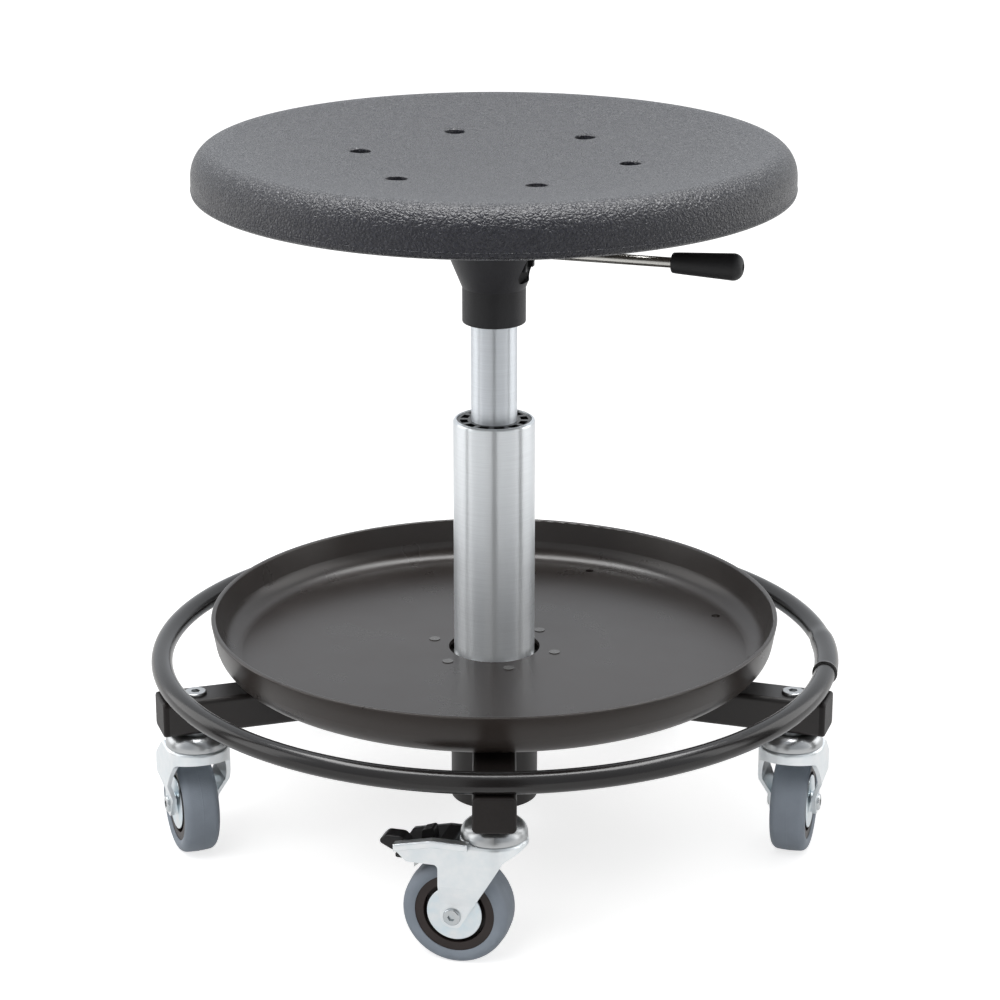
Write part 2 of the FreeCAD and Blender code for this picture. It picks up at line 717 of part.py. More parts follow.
def near_wing_outline():
    """Wing on the lip's side, with the upright back edge of the leg that it grows from."""
    back = TRAIL + LEG_HALF_WIDTH
    half_drop = WING_DROP / 2
    return [
        (TRAIL, bend_high), (back, bend_high), (back, wing_floor, LEG_SHEET),
        (wing_end - half_drop, wing_floor, half_drop / 2),
        (wing_end, wing_floor + half_drop, half_drop / 2), (wing_end, wing_end_top), (slope_start, wing_top),
        (wing_start(), wing_top), (wing_start(), crown_top - CROWN_ROUND)]


def far_wing_outline():
    """Lower wing on the other leg, level with the top of the pedal."""
    top = pedal_top - AIR
    return [
        (0, wing_floor), (wing_end, wing_floor, EDGE_ROUND), (wing_end, top - WING_SLOPE_FALL, EDGE_ROUND),
        (slope_start, top), (0, top)]


def wing_lip():
    """Rolled edge along the top of a wing, standing out from its outer face."""
    outer = leg_outside + LIP_WIDTH
    lip = plate([
        (wing_start(), wing_top - LIP_DEPTH), (slope_start, wing_top - LIP_DEPTH),
        (wing_end, wing_end_top - LIP_DEPTH), (wing_end, wing_end_top), (slope_start, wing_top),
        (wing_start(), wing_top)], leg_outside, outer)
    rolled = [e for e in lip.Edges if e.BoundBox.YMin > outer - 1e-6]
    return lip.makeFillet(LIP_ROUND, rolled)


def crown_blank(radius, bottom, top):
    """Block with a round front on the swivel axis and straight sides that run back along the wheel."""
    length = TRAIL + 2 * LEG_HALF_WIDTH
    round_front = rod(radius, bottom, top)
    return round_front.fuse(block((0, -radius, bottom), (length, radius, top))).removeSplitter()


def pinch_block(half):
    """Block along the wheel whose sides step in below the bend, as the legs do towards the axle."""
    foot = half - LEG_PINCH
    low = wheel_r + LEG_BEND_LOW
    wide = half + LEG_SHEET
    bend_end = bend_high + LEG_SHEET * (LEG_BEND_HIGH - LEG_BEND_LOW) / LEG_PINCH
    face = profile([
        (-foot, 0), (foot, 0), (foot, low, LEG_HALF_WIDTH), (wide, bend_end), (wide, CASTER_HEIGHT),
        (-wide, CASTER_HEIGHT), (-wide, bend_end), (-foot, low, LEG_HALF_WIDTH)])
    face.rotate(ORIGIN, Z_AXIS, 90)
    face.translate(Vector(-2 * CROWN_RADIUS, 0, 0))
    return face.extrude(Vector(2 * CROWN_RADIUS + WHEEL_DIAMETER, 0, 0))


def crown_disc():
    """Round top of the fork with a short rim all round."""
    roof = crown_top - LEG_SHEET
    rim_floor = crown_top - CROWN_RIM
    return turned([
        (bolt_r + RUN, roof), (leg_inside, roof), (leg_inside, rim_floor), (CROWN_RADIUS, rim_floor),
        (CROWN_RADIUS, crown_top, CROWN_ROUND), (bolt_r + RUN, crown_top)])


def fork(braked):
    """Pressed fork: drawn crown with a skirt in front, and legs that rake back and close in to the axle."""
    outside = crown_blank(CROWN_RADIUS, 0, crown_top)
    top_edges = [e for e in outside.Edges if e.BoundBox.ZMin > crown_top - 1e-6]
    drawn_edges = [e for e in top_edges if e.BoundBox.XMin < TRAIL]
    outside = outside.makeFillet(CROWN_ROUND, drawn_edges).common(pinch_block(leg_outside))
    inside = crown_blank(leg_inside, 0, crown_top - LEG_SHEET).common(pinch_block(leg_inside))
    outline = fork_outline(CROWN_RIM if braked else PLAIN_RIM)
    body = outside.cut(inside).common(plate(outline, -CROWN_RADIUS, CROWN_RADIUS)).fuse(crown_disc())
    if braked:
        near_wing = plate(near_wing_outline(), leg_inside, leg_outside).fuse(wing_lip())
        far_wing = plate(far_wing_outline(), -leg_outside, -leg_inside)
        pin_seat = leg_outside - PIN_END_WALL
        pin_room = cross_bar(BRAKE_PIN / 2 + RUN, brake_x, brake_z, -pin_seat, pin_seat)
        body = body.fuse([near_wing, far_wing]).cut(pin_room)
    axle_hole = cross_bar(axle_r + RUN, TRAIL, wheel_r, -leg_outside, leg_outside)
    bore = rod(bolt_r + RUN, 0, crown_top)
    return body.cut([axle_hole, bore]).removeSplitter()


def axle():
    """Axle bolt and its sleeve nut: a low round head with a hexagon socket on each leg."""
    head_top = foot_outside + AXLE_HEAD_HEIGHT
    socket = hexagon(AXLE_SOCKET, head_top - AXLE_SOCKET_DEPTH, head_top + AXLE_SOCKET)
    bolt = turned([
        (0, -foot_outside), (axle_r, -foot_outside), (axle_r, foot_outside), (AXLE_HEAD / 2, foot_outside),
        (AXLE_HEAD / 2, head_top, EDGE_ROUND), (0, head_top)]).cut(socket)
    nut = turned([
        (0, foot_outside), (AXLE_HEAD / 2, foot_outside), (AXLE_HEAD / 2, head_top, EDGE_ROUND),
        (0, head_top)]).cut(socket).mirror(ORIGIN, Z_AXIS)
    return Part.makeCompound([laid_on_y(bolt), laid_on_y(nut)])


def thread_guards():
    """Dished disc with a spacer boss, one on each side of the wheel."""
    disc_r = GUARD_DIAMETER / 2
    boss_r = GUARD_BOSS / 2
    bore = axle_r + RUN
    back = guard_face + GUARD_SHEET
    guard = turned([
        (bore, guard_face), (disc_r, guard_face), (disc_r, back, GUARD_SHEET / 2),
        (boss_r, back, GUARD_SHEET),
        (boss_r, foot_inside), (bore, foot_inside)])
    other = guard.mirror(ORIGIN, Z_AXIS)
    return Part.makeCompound([laid_on_y(guard), laid_on_y(other)])


def wheel_core():
    bore = axle_r + RUN
    hub = WHEEL_HUB_DIAMETER / 2
    hub_half = WHEEL_HUB_WIDTH / 2
    web = WEB_THICKNESS / 2
    rim_half = RIM_WIDTH / 2
    rim_inside = rim_r - RIM_THICKNESS
    half = [
        (bore, hub_half), (hub, hub_half), (hub, web), (rim_inside, web), (rim_inside, rim_half),
        (rim_r, rim_half)]
    mirrored = [(r, -h) for r, h in reversed(half)]
    return laid_on_y(turned(half + mirrored))


def tyre():
    half = TYRE_WIDTH / 2
    seat_half = half - TYRE_SIDE_STEP
    bead = rim_r + TYRE_SIDE_STEP
    return laid_on_y(turned([
        (rim_r, -seat_half), (rim_r, seat_half), (bead, half), (wheel_r, half, TYRE_SHOULDER),
        (wheel_r, -half, TYRE_SHOULDER), (bead, -half)]))


def brake_pedal():
    """Black pedal set down between the wings: pivot pins, raised tab and a hooked tip."""
    side = leg_inside - AIR
    front = CUP_RADIUS + 2 * END_GAP
    tip = TRAIL + PEDAL_TIP
    half_tip = PEDAL_TIP_WIDTH / 2
    nose_start = wing_end - PEDAL_HOOK
    nose_top = pedal_end_top + NOSE_RISE
    nose_edge = nose_top - PEDAL_HOOK
    body = plate([
        (front, pedal_floor, EDGE_ROUND), (front, pedal_top, EDGE_ROUND), (slope_start, pedal_top),
        (wing_end, pedal_end_top, EDGE_ROUND), (wing_end, pedal_floor, EDGE_ROUND)], -side, side)
    nose = plate([
        (nose_start, pedal_floor), (nose_start, pedal_end_top), (wing_end, nose_top, NOSE_ROUND),
        (tip - PEDAL_HOOK, nose_top, NOSE_ROUND), (tip, nose_edge, NOSE_ROUND / 2),
        (tip - 2 * PEDAL_HOOK, nose_edge - PEDAL_HOOK, NOSE_ROUND / 2)], -half_tip, half_tip)
    nose_sides = [e for e in nose.Edges if e.BoundBox.XMin > nose_start + 1e-6 and e.BoundBox.YLength < 1e-6]
    nose = nose.makeFillet(EDGE_ROUND, nose_sides)
    tab_start = TRAIL + TAB_START
    tab_end = tab_start + TAB_LENGTH
    tab_top = pedal_top + TAB_HEIGHT
    tab = plate([
        (tab_start, brake_z), (tab_start + EDGE_ROUND, tab_top, EDGE_ROUND),
        (tab_end - EDGE_ROUND, tab_top - TAB_FALL, EDGE_ROUND), (tab_end, brake_z)],
        -TAB_WIDTH / 2, TAB_WIDTH / 2)
    pin_end = leg_outside - PIN_END_WALL - AIR
    pins = cross_bar(BRAKE_PIN / 2, brake_x, brake_z, -pin_end, pin_end)
    return body.fuse([nose, tab, pins]).removeSplitter()


def brake_shoe():
    """Steel shoe under the pedal, hollowed to the tyre's curve."""
    start = TRAIL + SHOE_START
    half = SHOE_WIDTH / 2
    blank = block((start, -half, wheel_r), (start + SHOE_LENGTH, half, pedal_floor))
    tyre_room = cross_bar(wheel_r + shoe_gap, TRAIL, wheel_r, -half, half)
    return blank.cut(tyre_room)


def caster_parts(braked):
    parts = {
        "fork": fork(braked),
        "axle": axle(),
        "thread_guards": thread_guards(),
        "wheel_core": wheel_core(),
        "tyre": tyre(),
    }
    if braked:
        parts["brake_pedal"] = brake_pedal()
        parts["brake_shoe"] = brake_shoe()
    return parts


def placed_casters():
    """Every caster's parts, turned to its rest heading under its arm."""
    nodes = {}
    plain = caster_parts(False)
    for i, side in enumerate(ARM_SIDES):
        angle = math.radians(arm_angle(i))
        here = Vector(caster_circle * math.cos(angle), caster_circle * math.sin(angle), 0)
        parts = caster_parts(True) if i == 0 else plain
        for name, shape in parts.items():
            copy = spun(shape, CASTER_TURNS[i])
            copy.translate(here)
            nodes[name if name.startswith("brake") else f"{name}_{side}"] = copy
    return nodes


def all_parts():
    nodes = {
        "hub_tube": hub_tube(),
        "arm_end_caps": Part.makeCompound(fan(arm_end_cap(), len(ARM_SIDES), FRONT_ANGLE)),
        "foot_ring": foot_ring(),
        "tool_tray": tool_tray(),
        "column_tube": column_tube(),
        "guide_bush": guide_bush(),
        "bearing_lower_race": bearing_race(race_floor, neck_r + AIR),
        "bearing_balls": bearing_balls(),
        "bearing_upper_race": bearing_race(race_roof, neck_r),
        "piston_rod": piston_rod(),
        "piston": piston(),
        "rubber_buffer": rubber_buffer(),
        "retaining_clip": retaining_clip(),
        "gas_cylinder": gas_cylinder(),
        "rod_guide": rod_guide(),
        "valve_body": valve_body(),
        "release_pin": release_pin(),
        "hub_cone": hub_cone(),
        "hub_sleeve": hub_sleeve(),
        "lever_pivot_pin": lever_pivot_pin(),
        "lever_rod": lever_rod(),
        "lever_grip": lever_grip(),
        "seat_pad": seat_pad(),
        "seat_board": seat_board(),
        "seat_screws": seat_screws(),
        "swivel_cups": Part.makeCompound(at_arms(swivel_cup())),
        "caster_bolts": Part.makeCompound(at_arms(caster_bolt())),
        "caster_nuts": Part.makeCompound(at_arms(caster_nut())),
    }
    for i, side in enumerate(ARM_SIDES):
        nodes[f"arm_{side}"] = spun(arm(), arm_angle(i))
    nodes.update(placed_casters())
    return nodes


os.makedirs("parts", exist_ok=True)
for node, shape in all_parts().items():
    shape.exportStep(f"parts/{node}.step")
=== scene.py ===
import json
import math

import bmesh
import bpy
import numpy as np
from bpy.props import FloatProperty, FloatVectorProperty, PointerProperty
from bpy.types import Operator, Panel, PropertyGroup
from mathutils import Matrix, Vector


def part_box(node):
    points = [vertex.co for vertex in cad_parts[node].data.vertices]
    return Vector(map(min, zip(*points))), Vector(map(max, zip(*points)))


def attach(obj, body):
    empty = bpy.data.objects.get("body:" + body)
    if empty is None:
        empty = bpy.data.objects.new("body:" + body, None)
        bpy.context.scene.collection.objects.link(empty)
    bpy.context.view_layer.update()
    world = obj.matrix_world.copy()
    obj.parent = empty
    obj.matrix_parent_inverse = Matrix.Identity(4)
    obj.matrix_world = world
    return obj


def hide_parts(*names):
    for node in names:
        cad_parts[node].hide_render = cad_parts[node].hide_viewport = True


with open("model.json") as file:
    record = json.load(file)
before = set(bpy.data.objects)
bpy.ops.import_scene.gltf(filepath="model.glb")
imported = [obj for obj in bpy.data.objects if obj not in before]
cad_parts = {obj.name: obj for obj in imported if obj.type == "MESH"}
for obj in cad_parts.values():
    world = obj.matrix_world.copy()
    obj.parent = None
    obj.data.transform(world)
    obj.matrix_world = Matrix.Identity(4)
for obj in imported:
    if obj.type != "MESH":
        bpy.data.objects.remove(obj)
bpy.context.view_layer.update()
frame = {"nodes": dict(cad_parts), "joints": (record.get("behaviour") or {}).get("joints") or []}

bl_info = {
    "name": "Workshop stool",
    "version": (1, 0, 0),
    "blender": (4, 5, 0),
    "location": "3D View > Sidebar > Stool",
    "description": "Dresses the packed workshop stool and sets up its studio stage",
    "category": "Object",
}

SIDES = ("front", "right", "rear_right", "rear_left", "left")
SEAT_LOW, SEAT_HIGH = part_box("seat_pad")
TYRE_LOW, TYRE_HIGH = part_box("tyre_front")
TRAY_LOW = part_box("tool_tray")[0]
JOINTS = {joint["name"]: joint for joint in frame["joints"]}


def length(name, description, default):
    """Setting in metres."""
    return FloatProperty(name=name, description=description, default=default, unit="LENGTH",
                         precision=5)


def angle(name, description, default):
    """Setting in radians, which the panel shows in degrees."""
    return FloatProperty(name=name, description=description, default=default, subtype="ANGLE")


def level(name, description, default, unit="NONE"):
    """Setting that never goes below zero."""
    return FloatProperty(name=name, description=description, default=default, min=0, unit=unit)


def share(name, description, default):
    """Setting from 0 to 1."""
    return FloatProperty(name=name, description=description, default=default, min=0, max=1,
                         subtype="FACTOR")


def colour(name, description, default):
    """Colour setting."""
    return FloatVectorProperty(name=name, description=description, default=default, size=3,
                               min=0, max=1, subtype="COLOR")


class StoolSeat(PropertyGroup):
    """Form and finish of the moulded seat pad and the board in it."""
    dish_depth: length("Dish depth", "How far the middle lies below the crest", 0.0116)
    dish_radius: length("Dish radius", "Where the dish meets the crest", 0.148)
    dish_edge: length("Dish edge", "Height left from the dish's rim up to the crest", 0.0016)
    crest_inset: length("Crest inset", "From the outer side in to the crest", 0.0153)
    edge_drop: length("Edge drop", "Height of the rounded edge", 0.0174)
    undercut_rise: length("Undercut rise", "Height of the drawn-in underside", 0.005)
    undercut_inset: length("Undercut inset", "From the outer side in to the flat underside",
                           0.0159)
    parting_lip: length("Parting lip", "How far the mould line stands out", 0.0003)
    recess_radius: length("Recess radius", "Pocket for the seat board", 0.1451)
    recess_depth: length("Recess depth", "Depth of the pocket for the seat board", 0.0091)
    vent_circle: length("Vent circle", "Radius that the six vent holes lie on", 0.0816)
    vent_radius: length("Vent radius", "Half the width of a vent hole", 0.00625)
    vent_mouth: length("Vent mouth", "Rounding at the top of a vent hole", 0.0008)
    vent_start: angle("First vent", "Bearing of the first vent hole", math.radians(47.2))
    skin: colour("Skin", "Colour of the foam's closed skin", (0.0185, 0.0190, 0.0265))
    gloss: share("Roughness", "Roughness of the skin", 0.31)
    board_dark: colour("Board, dark", "Dark bands of the stained board", (0.030, 0.024, 0.019))
    board_light: colour("Board, light", "Light bands of the stained board",
                        (0.062, 0.050, 0.040))


class StoolBase(PropertyGroup):
    """Form and finish of the foot ring, the arms and the tray."""
    ring_radius: length("Ring radius", "Middle line of the foot ring", 0.206)
    ring_tube: length("Ring tube", "Half the tube's thickness", 0.0065)
    ring_height: length("Ring height", "Height of the tube's middle line", 0.1175)
    socket_extra: length("Socket", "How much wider the socket end is, each side", 0.0009)
    socket_lip: angle("Socket lip", "Bearing of the socket's open end", math.radians(-12))
    socket_sweep: angle("Socket sweep", "Angle that the socket takes", math.radians(14))
    paint: colour("Paint", "Satin black coat on the ring", (0.0125, 0.0110, 0.0108))
    arm_paint: colour("Arm paint", "Matt coat on the arms and the hub, and the caps' plastic",
                      (0.0140, 0.0112, 0.0105))
    tray: colour("Tray", "Moulded plastic of the tray", (0.036, 0.0285, 0.025))
    tray_floor: length("Tray floor", "Height of the tray's floor", TRAY_LOW.z + 0.008)
    gate_marks: length("Gate marks", "Reach of the raised marks that the mould leaves round the "
                       "hole", 0.046)
    # Painted highlight: paler colour on the raised gate marks, where glints fall on them.
    gate_painted_highlight: colour("Gate highlight", "Painted highlight that makes the gate marks paler", (0.12, 0.115, 0.11))


class StoolCasters(PropertyGroup):
    """Form and finish of the wheels and forks."""
    crown: length("Tread crown", "How much the tread bulges between its shoulders", 0.0003)
    shoulder: length("Shoulder", "Rounding between tread and side wall", 0.0045)
    seam: length("Mould seam", "How far the mould seam stands out", 0.00012)
    bead_radius: length("Bead", "Inner radius of the tyre", 0.0235)
    rubber: colour("Tyre", "Grey rubber", (0.275, 0.312, 0.362))
    core: colour("Wheel", "Wheel centre", (0.032, 0.0235, 0.0215))
    zinc: colour("Zinc", "Plating on forks, axles, cups, bolts and screws", (0.80, 0.82, 0.83))


class StoolColumn(PropertyGroup):
    """Form and finish of the column, the hub and the lever."""
    lever_bearing: angle("Lever", "Bearing of the lever", math.radians(-17))
    grip_start: length("Grip start", "From the column's axis to the grip", 0.109)
    grip_end: length("Grip end", "From the column's axis to the grip's end", 0.1515)
    grip_thin: length("Grip neck", "Radius at the rod", 0.00595)
    grip_thick: length("Grip end radius", "Radius near the end", 0.00835)
    dimple: length("Dimple", "Radius of the hollow in the grip's end", 0.0022)
    grip: colour("Grip", "Plastic of the grip", (0.024, 0.024, 0.0255))
    lever_steel: colour("Lever steel", "Lever rod and its pin", (0.62, 0.61, 0.58))
    chrome: colour("Chrome", "Column tube", (0.89, 0.925, 0.95))
    cylinder: colour("Cylinder", "Satin plating on the gas cylinder", (0.80, 0.84, 0.88))
    inner_steel: colour("Inner steel", "Bearing, rod, piston and valve", (0.56, 0.57, 0.58))
    buffer: colour("Buffer", "Rubber buffer inside the column", (0.012, 0.012, 0.012))
    cone_foot: length("Cone foot", "Height of the cone's lower end", 0.3494)
    cone_top: length("Cone top", "Height of the cone's upper end", 0.4014)
    cone_radius: length("Cone radius", "Outside radius at the cone's lower end", 0.0192)
    cone_slope: angle("Cone slope", "Angle of the cone's outside to its axis",
                      math.radians(22.5))
    cone: colour("Hub", "Cast hub under the seat", (0.040, 0.040, 0.045))
    # Painted shade: near-black colour laid on the hub inside the lever window, where shade falls.
    window_painted_shade: colour("Painted shade inside", "Painted shade inside the lever window", (0.004, 0.004, 0.0045))
    sleeve: colour("Sleeve", "Plastic sleeve", (0.024, 0.024, 0.0265))
    plastic: colour("Plastic", "Brake pedal and guide bush", (0.0125, 0.0120, 0.0125))


class StoolStage(PropertyGroup):
    """Camera, floor and light."""
    lens: level("Lens", "Focal length in millimetres", 103.355, "CAMERA")
    eye: FloatVectorProperty(name="Camera", description="Place of the camera", size=3,
                             default=(0.0, -1.6696, 0.7716), subtype="TRANSLATION")
    pitch: angle("Pitch", "How far the camera looks down", 0.322)
    yaw: angle("Yaw", "How far the camera looks to the right", math.radians(0.122))
    ambient: level("Ambient", "Even light from all round", 0.55)
    floor: colour("Floor", "Pale floor", (0.72, 0.72, 0.72))
    floor_lift: level("Floor lift", "White that the camera sees on top of the floor's own", 0.72)
    floor_mirror: share("Floor mirror", "Part of the floor's lift that reflections see", 0.55)
    room: level("Dim room", "How bright reflections see the room in front", 0.55)
    panel: level("Panel", "How bright reflections see the panel overhead", 9.0)
    side_panel: share("Side panels", "Brightness of the side panels against the one overhead",
                      0.25)
    key: level("Key lamp", "Power of the large lamp in front", 20, "POWER")
    rim: share("Rim lamp", "Power of the lamp behind against the key lamp", 0.4)


def outward(mesh):
    """Merges the doubled points of seams and poles, then turns every face outwards."""
    work = bmesh.new()
    work.from_mesh(mesh)
    bmesh.ops.remove_doubles(work, verts=work.verts, dist=1e-7)
    bmesh.ops.recalc_face_normals(work, faces=work.faces)
    work.to_mesh(mesh)
    work.free()
    mesh.update()


def grid_quads(rows, columns, ring_rows, ring_columns):
    """Corner numbers of the quads on a grid; a ring direction joins its last line to its first."""
    index = np.arange(rows * columns).reshape(rows, columns)
    if ring_rows:
        index = np.vstack([index, index[:1]])
    if ring_columns:
        index = np.hstack([index, index[:, :1]])
    corners = [index[:-1, :-1], index[1:, :-1], index[1:, 1:], index[:-1, 1:]]
    return np.stack(corners, axis=2).reshape(-1, 4)


def mesh_piece(name, grids, ring_rows=True, ring_columns=False):
    """One object made of one or more grids of points, each a function of two parameters."""
    points, quads, offset = [], [], 0
    for grid in grids:
        rows, columns = grid.shape[:2]
        points.append(grid.reshape(-1, 3))
        quads.append(grid_quads(rows, columns, ring_rows, ring_columns) + offset)
        offset += rows * columns
    mesh = bpy.data.meshes.new(name)
    mesh.from_pydata(np.concatenate(points).tolist(), [], np.concatenate(quads).tolist())
    outward(mesh)
    mesh.polygons.foreach_set("use_smooth", np.ones(len(mesh.polygons), bool))
    piece = bpy.data.objects.new(name, mesh)
    bpy.context.scene.collection.objects.link(piece)
    return piece


def lathe(radius, height, sides):
    """The (radius, height) profile carried round the Z axis: x = r cos a, y = r sin a, z = h."""
    turn = np.linspace(0, 2 * np.pi, sides, endpoint=False)[:, None]
    x = np.cos(turn) * radius
    y = np.sin(turn) * radius
    return np.stack([x, y, np.broadcast_to(height, x.shape)], axis=2)


def placed(grid, along, origin):
    """The grid with its Z axis turned to a direction and its zero moved to a point."""
    turn = np.array(Vector((0, 0, 1)).rotation_difference(Vector(along)).to_matrix())
    return grid @ turn.T + np.array(origin)


def rounded(corners, steps):
    """Profile through corners (x, z, radius) that become arcs touching both sides.

    Each arc turns evenly about its centre, from where it leaves one side to where it meets the
    next; the first and the last corner stay as they are.
    """
    points = np.array([c[:2] for c in corners], float)
    radii = np.array([c[2] for c in corners], float)
    inner = points[1:-1]
    before = points[:-2] - inner
    after = points[2:] - inner
    before /= np.linalg.norm(before, axis=1)[:, None]
    after /= np.linalg.norm(after, axis=1)[:, None]
    half = np.arccos(np.clip((before * after).sum(1), -1, 1)) / 2
    setback = radii[1:-1] / np.tan(half)
    middle = before + after
    middle /= np.linalg.norm(middle, axis=1)[:, None]
    centre = inner + middle * (radii[1:-1] / np.sin(half))[:, None]
    start = inner + before * setback[:, None] - centre
    end = inner + after * setback[:, None] - centre
    t = np.linspace(0, 1, steps)[None, :, None]
    sweep = (np.pi - 2 * half)[:, None, None]
    weight = np.sin(sweep)
    arc = (np.sin((1 - t) * sweep) * start[:, None] + np.sin(t * sweep) * end[:, None]) / weight
    arcs = (arc + centre[:, None]).reshape(-1, 2)
    line = np.vstack([points[:1], arcs, points[-1:]])
    return line[:, 0], line[:, 1]


def rises(start, end, start_slope, end_slope, count):
    """Cubic from one (x, z) point to another that keeps a slope at each end."""
    t = np.linspace(0, 1, count)
    span = end[0] - start[0]
    z = ((2 * t**3 - 3 * t**2 + 1) * start[1] + (t**3 - 2 * t**2 + t) * span * start_slope
         + (3 * t**2 - 2 * t**3) * end[1] + (t**3 - t**2) * span * end_slope)
    return start[0] + span * t, z


def dish_height(seat, reach):
    """Height of the dish's parabola at a distance from the seat's axis."""
    rise = seat.dish_depth - seat.dish_edge
    return SEAT_HIGH.z - seat.dish_depth + rise * (reach / seat.dish_radius) ** 2


def seat_section(seat):
    """Half section of the pad, from the dish's middle over the edge and back under to the middle.

    The dish is a parabola, a cubic that keeps its slope joins it to the crest, and the edge and
    the drawn-in underside are quarter ellipses, the edge a little fuller than one. The mould line
    is a narrow bell curve on the lower side, and the pocket for the board is straight.
    """
    dish_steps, lip_steps, edge_steps, side_steps = 72, 14, 36, 46
    fullness = 0.94
    line_rise, line_width = 0.0012, 0.00022
    outer, top, bottom = SEAT_HIGH.x, SEAT_HIGH.z, SEAT_LOW.z
    crest = (outer - seat.crest_inset, top)
    r = np.linspace(0, seat.dish_radius, dish_steps)
    dish = (r, dish_height(seat, r))
    rim_slope = 2 * (seat.dish_depth - seat.dish_edge) / seat.dish_radius
    lip = rises((seat.dish_radius, top - seat.dish_edge), crest, rim_slope, 0, lip_steps)
    t = np.linspace(0, np.pi / 2, edge_steps)
    edge = (crest[0] + seat.crest_inset * np.sin(t) ** fullness,
            top - seat.edge_drop * (1 - np.cos(t) ** fullness))
    low_side = bottom + seat.undercut_rise
    z = np.linspace(top - seat.edge_drop, low_side, side_steps)
    mould_line = seat.parting_lip * np.exp(-((z - low_side - line_rise) / line_width) ** 2)
    side = (outer + mould_line, z)
    under = (outer - seat.undercut_inset * (1 - np.cos(t)),
             low_side - seat.undercut_rise * np.sin(t))
    pocket = bottom + seat.recess_depth
    recess = (np.array([seat.recess_radius, seat.recess_radius, 0.0]),
              np.array([bottom, pocket, pocket]))
    runs = [dish, *[(x[1:], h[1:]) for x, h in (lip, edge, side, under)], recess]
    return [np.concatenate(values) for values in zip(*runs)]


def vent_cutters(seat):
    """Six plugs that cut the vent holes: a straight bore, a mouth that opens on an arc, a cone."""
    opening = np.linspace(0, math.radians(68), 8)
    flare, overshoot = 0.003, 0.004
    surface = dish_height(seat, seat.vent_circle)
    mouth = seat.vent_mouth
    arc_r = seat.vent_radius + mouth * (1 - np.cos(opening))
    arc_z = surface - mouth + mouth * np.sin(opening)
    wide = arc_r[-1] + flare * math.sin(opening[-1])
    top = arc_z[-1] + flare * math.cos(opening[-1])
    radius = np.concatenate([[0, seat.vent_radius], arc_r, [wide, 0]])
    height = np.concatenate([[SEAT_LOW.z - overshoot] * 2, arc_z, [top, top]])
    plug = lathe(radius, height, 48)
    bearings = seat.vent_start + np.arange(6) * np.pi / 3
    circle = seat.vent_circle
    return [plug + [circle * math.cos(a), circle * math.sin(a), 0] for a in bearings]


def carve(piece, cutters):
    """Takes the cutters out of a piece and keeps the result as its own mesh."""
    tool = mesh_piece(piece.name + "_cutters", cutters)
    cut = piece.modifiers.new("Holes", "BOOLEAN")
    cut.operation = "DIFFERENCE"
    cut.solver = "EXACT"
    cut.object = tool
    graph = bpy.context.evaluated_depsgraph_get()
    mesh = bpy.data.meshes.new_from_object(piece.evaluated_get(graph))
    piece.modifiers.clear()
    piece.data = mesh
    bpy.data.meshes.remove(tool.data)
    mesh.name = piece.name


def split_creases(piece, degrees):
    """Shades smoothly up to the crease angle."""
    crease = piece.modifiers.new("Creases", "EDGE_SPLIT")
    crease.split_angle = math.radians(degrees)


def ring_surface(base):
    """Tube round a circle: the ring's bearing runs one way and the tube's the other.

    The tube's radius steps up at the socket's lip, where it flares a little more on a bell curve,
    and eases back by a cosine at the socket's far end. Bearings count from the lip.
    """
    lip_lines = np.linspace(-0.0016, 0.009, 24)
    plain_lines = np.linspace(0.012, 2 * np.pi - 0.004, 620)
    step_lead, step_width = 0.0008, 0.0011
    flare_rise, flare_width = 0.35, 0.006
    ease_width = math.radians(5)
    bearing = np.concatenate([lip_lines, plain_lines])
    step = np.clip((bearing + step_lead) / step_width, 0, 1)
    ease = np.clip((bearing - base.socket_sweep) / ease_width, 0, 1)
    flare = flare_rise * np.exp(-(bearing / flare_width) ** 2)
    widening = step * (0.5 + 0.5 * np.cos(np.pi * ease)) * (1 + flare)
    tube = (base.ring_tube + base.socket_extra * widening)[:, None]
    turn = np.linspace(0, 2 * np.pi, 40, endpoint=False)[None, :]
    radius = base.ring_radius + tube * np.cos(turn)
    along = (base.socket_lip + bearing)[:, None]
    height = base.ring_height + tube * np.sin(turn)
    return np.stack([radius * np.cos(along), radius * np.sin(along), height], axis=2)


def tyre_surface(casters):
    """Section of the tyre carried round its axle: a tread crowned on a parabola, with a mould seam
    on a bell curve, shoulders on quarter ellipses, and side walls that step down to the bead."""
    outer = (TYRE_HIGH.z - TYRE_LOW.z) / 2
    half, tread_half = 0.011, 0.0064
    seam_half, seam_edge, seam_width = 0.0005, 0.0006, 0.0002
    bead, step = casters.bead_radius, 0.001
    across = np.concatenate([np.linspace(-tread_half, -seam_edge, 10),
                             np.linspace(-seam_half, seam_half, 13),
                             np.linspace(seam_edge, tread_half, 10)])
    seam = casters.seam * np.exp(-(across / seam_width) ** 2)
    tread = outer - casters.crown * (across / tread_half) ** 2 + seam
    t = np.linspace(0, np.pi / 2, 12)[1:]
    curve_out = tread_half + (half - tread_half) * np.sin(t)
    curve_in = outer - casters.crown - casters.shoulder * (1 - np.cos(t))
    wall = np.array([[half, bead + 3 * step], [half - 0.0002, bead + 2 * step],
                     [half - 0.0005, bead + step], [half - step, bead]])
    right_x = np.concatenate([curve_out, wall[:, 0]])
    right_r = np.concatenate([curve_in, wall[:, 1]])
    height = np.concatenate([-right_x[::-1], across, right_x])
    radius = np.concatenate([right_r[::-1], tread, right_r])
    return lathe(radius, height, 160)


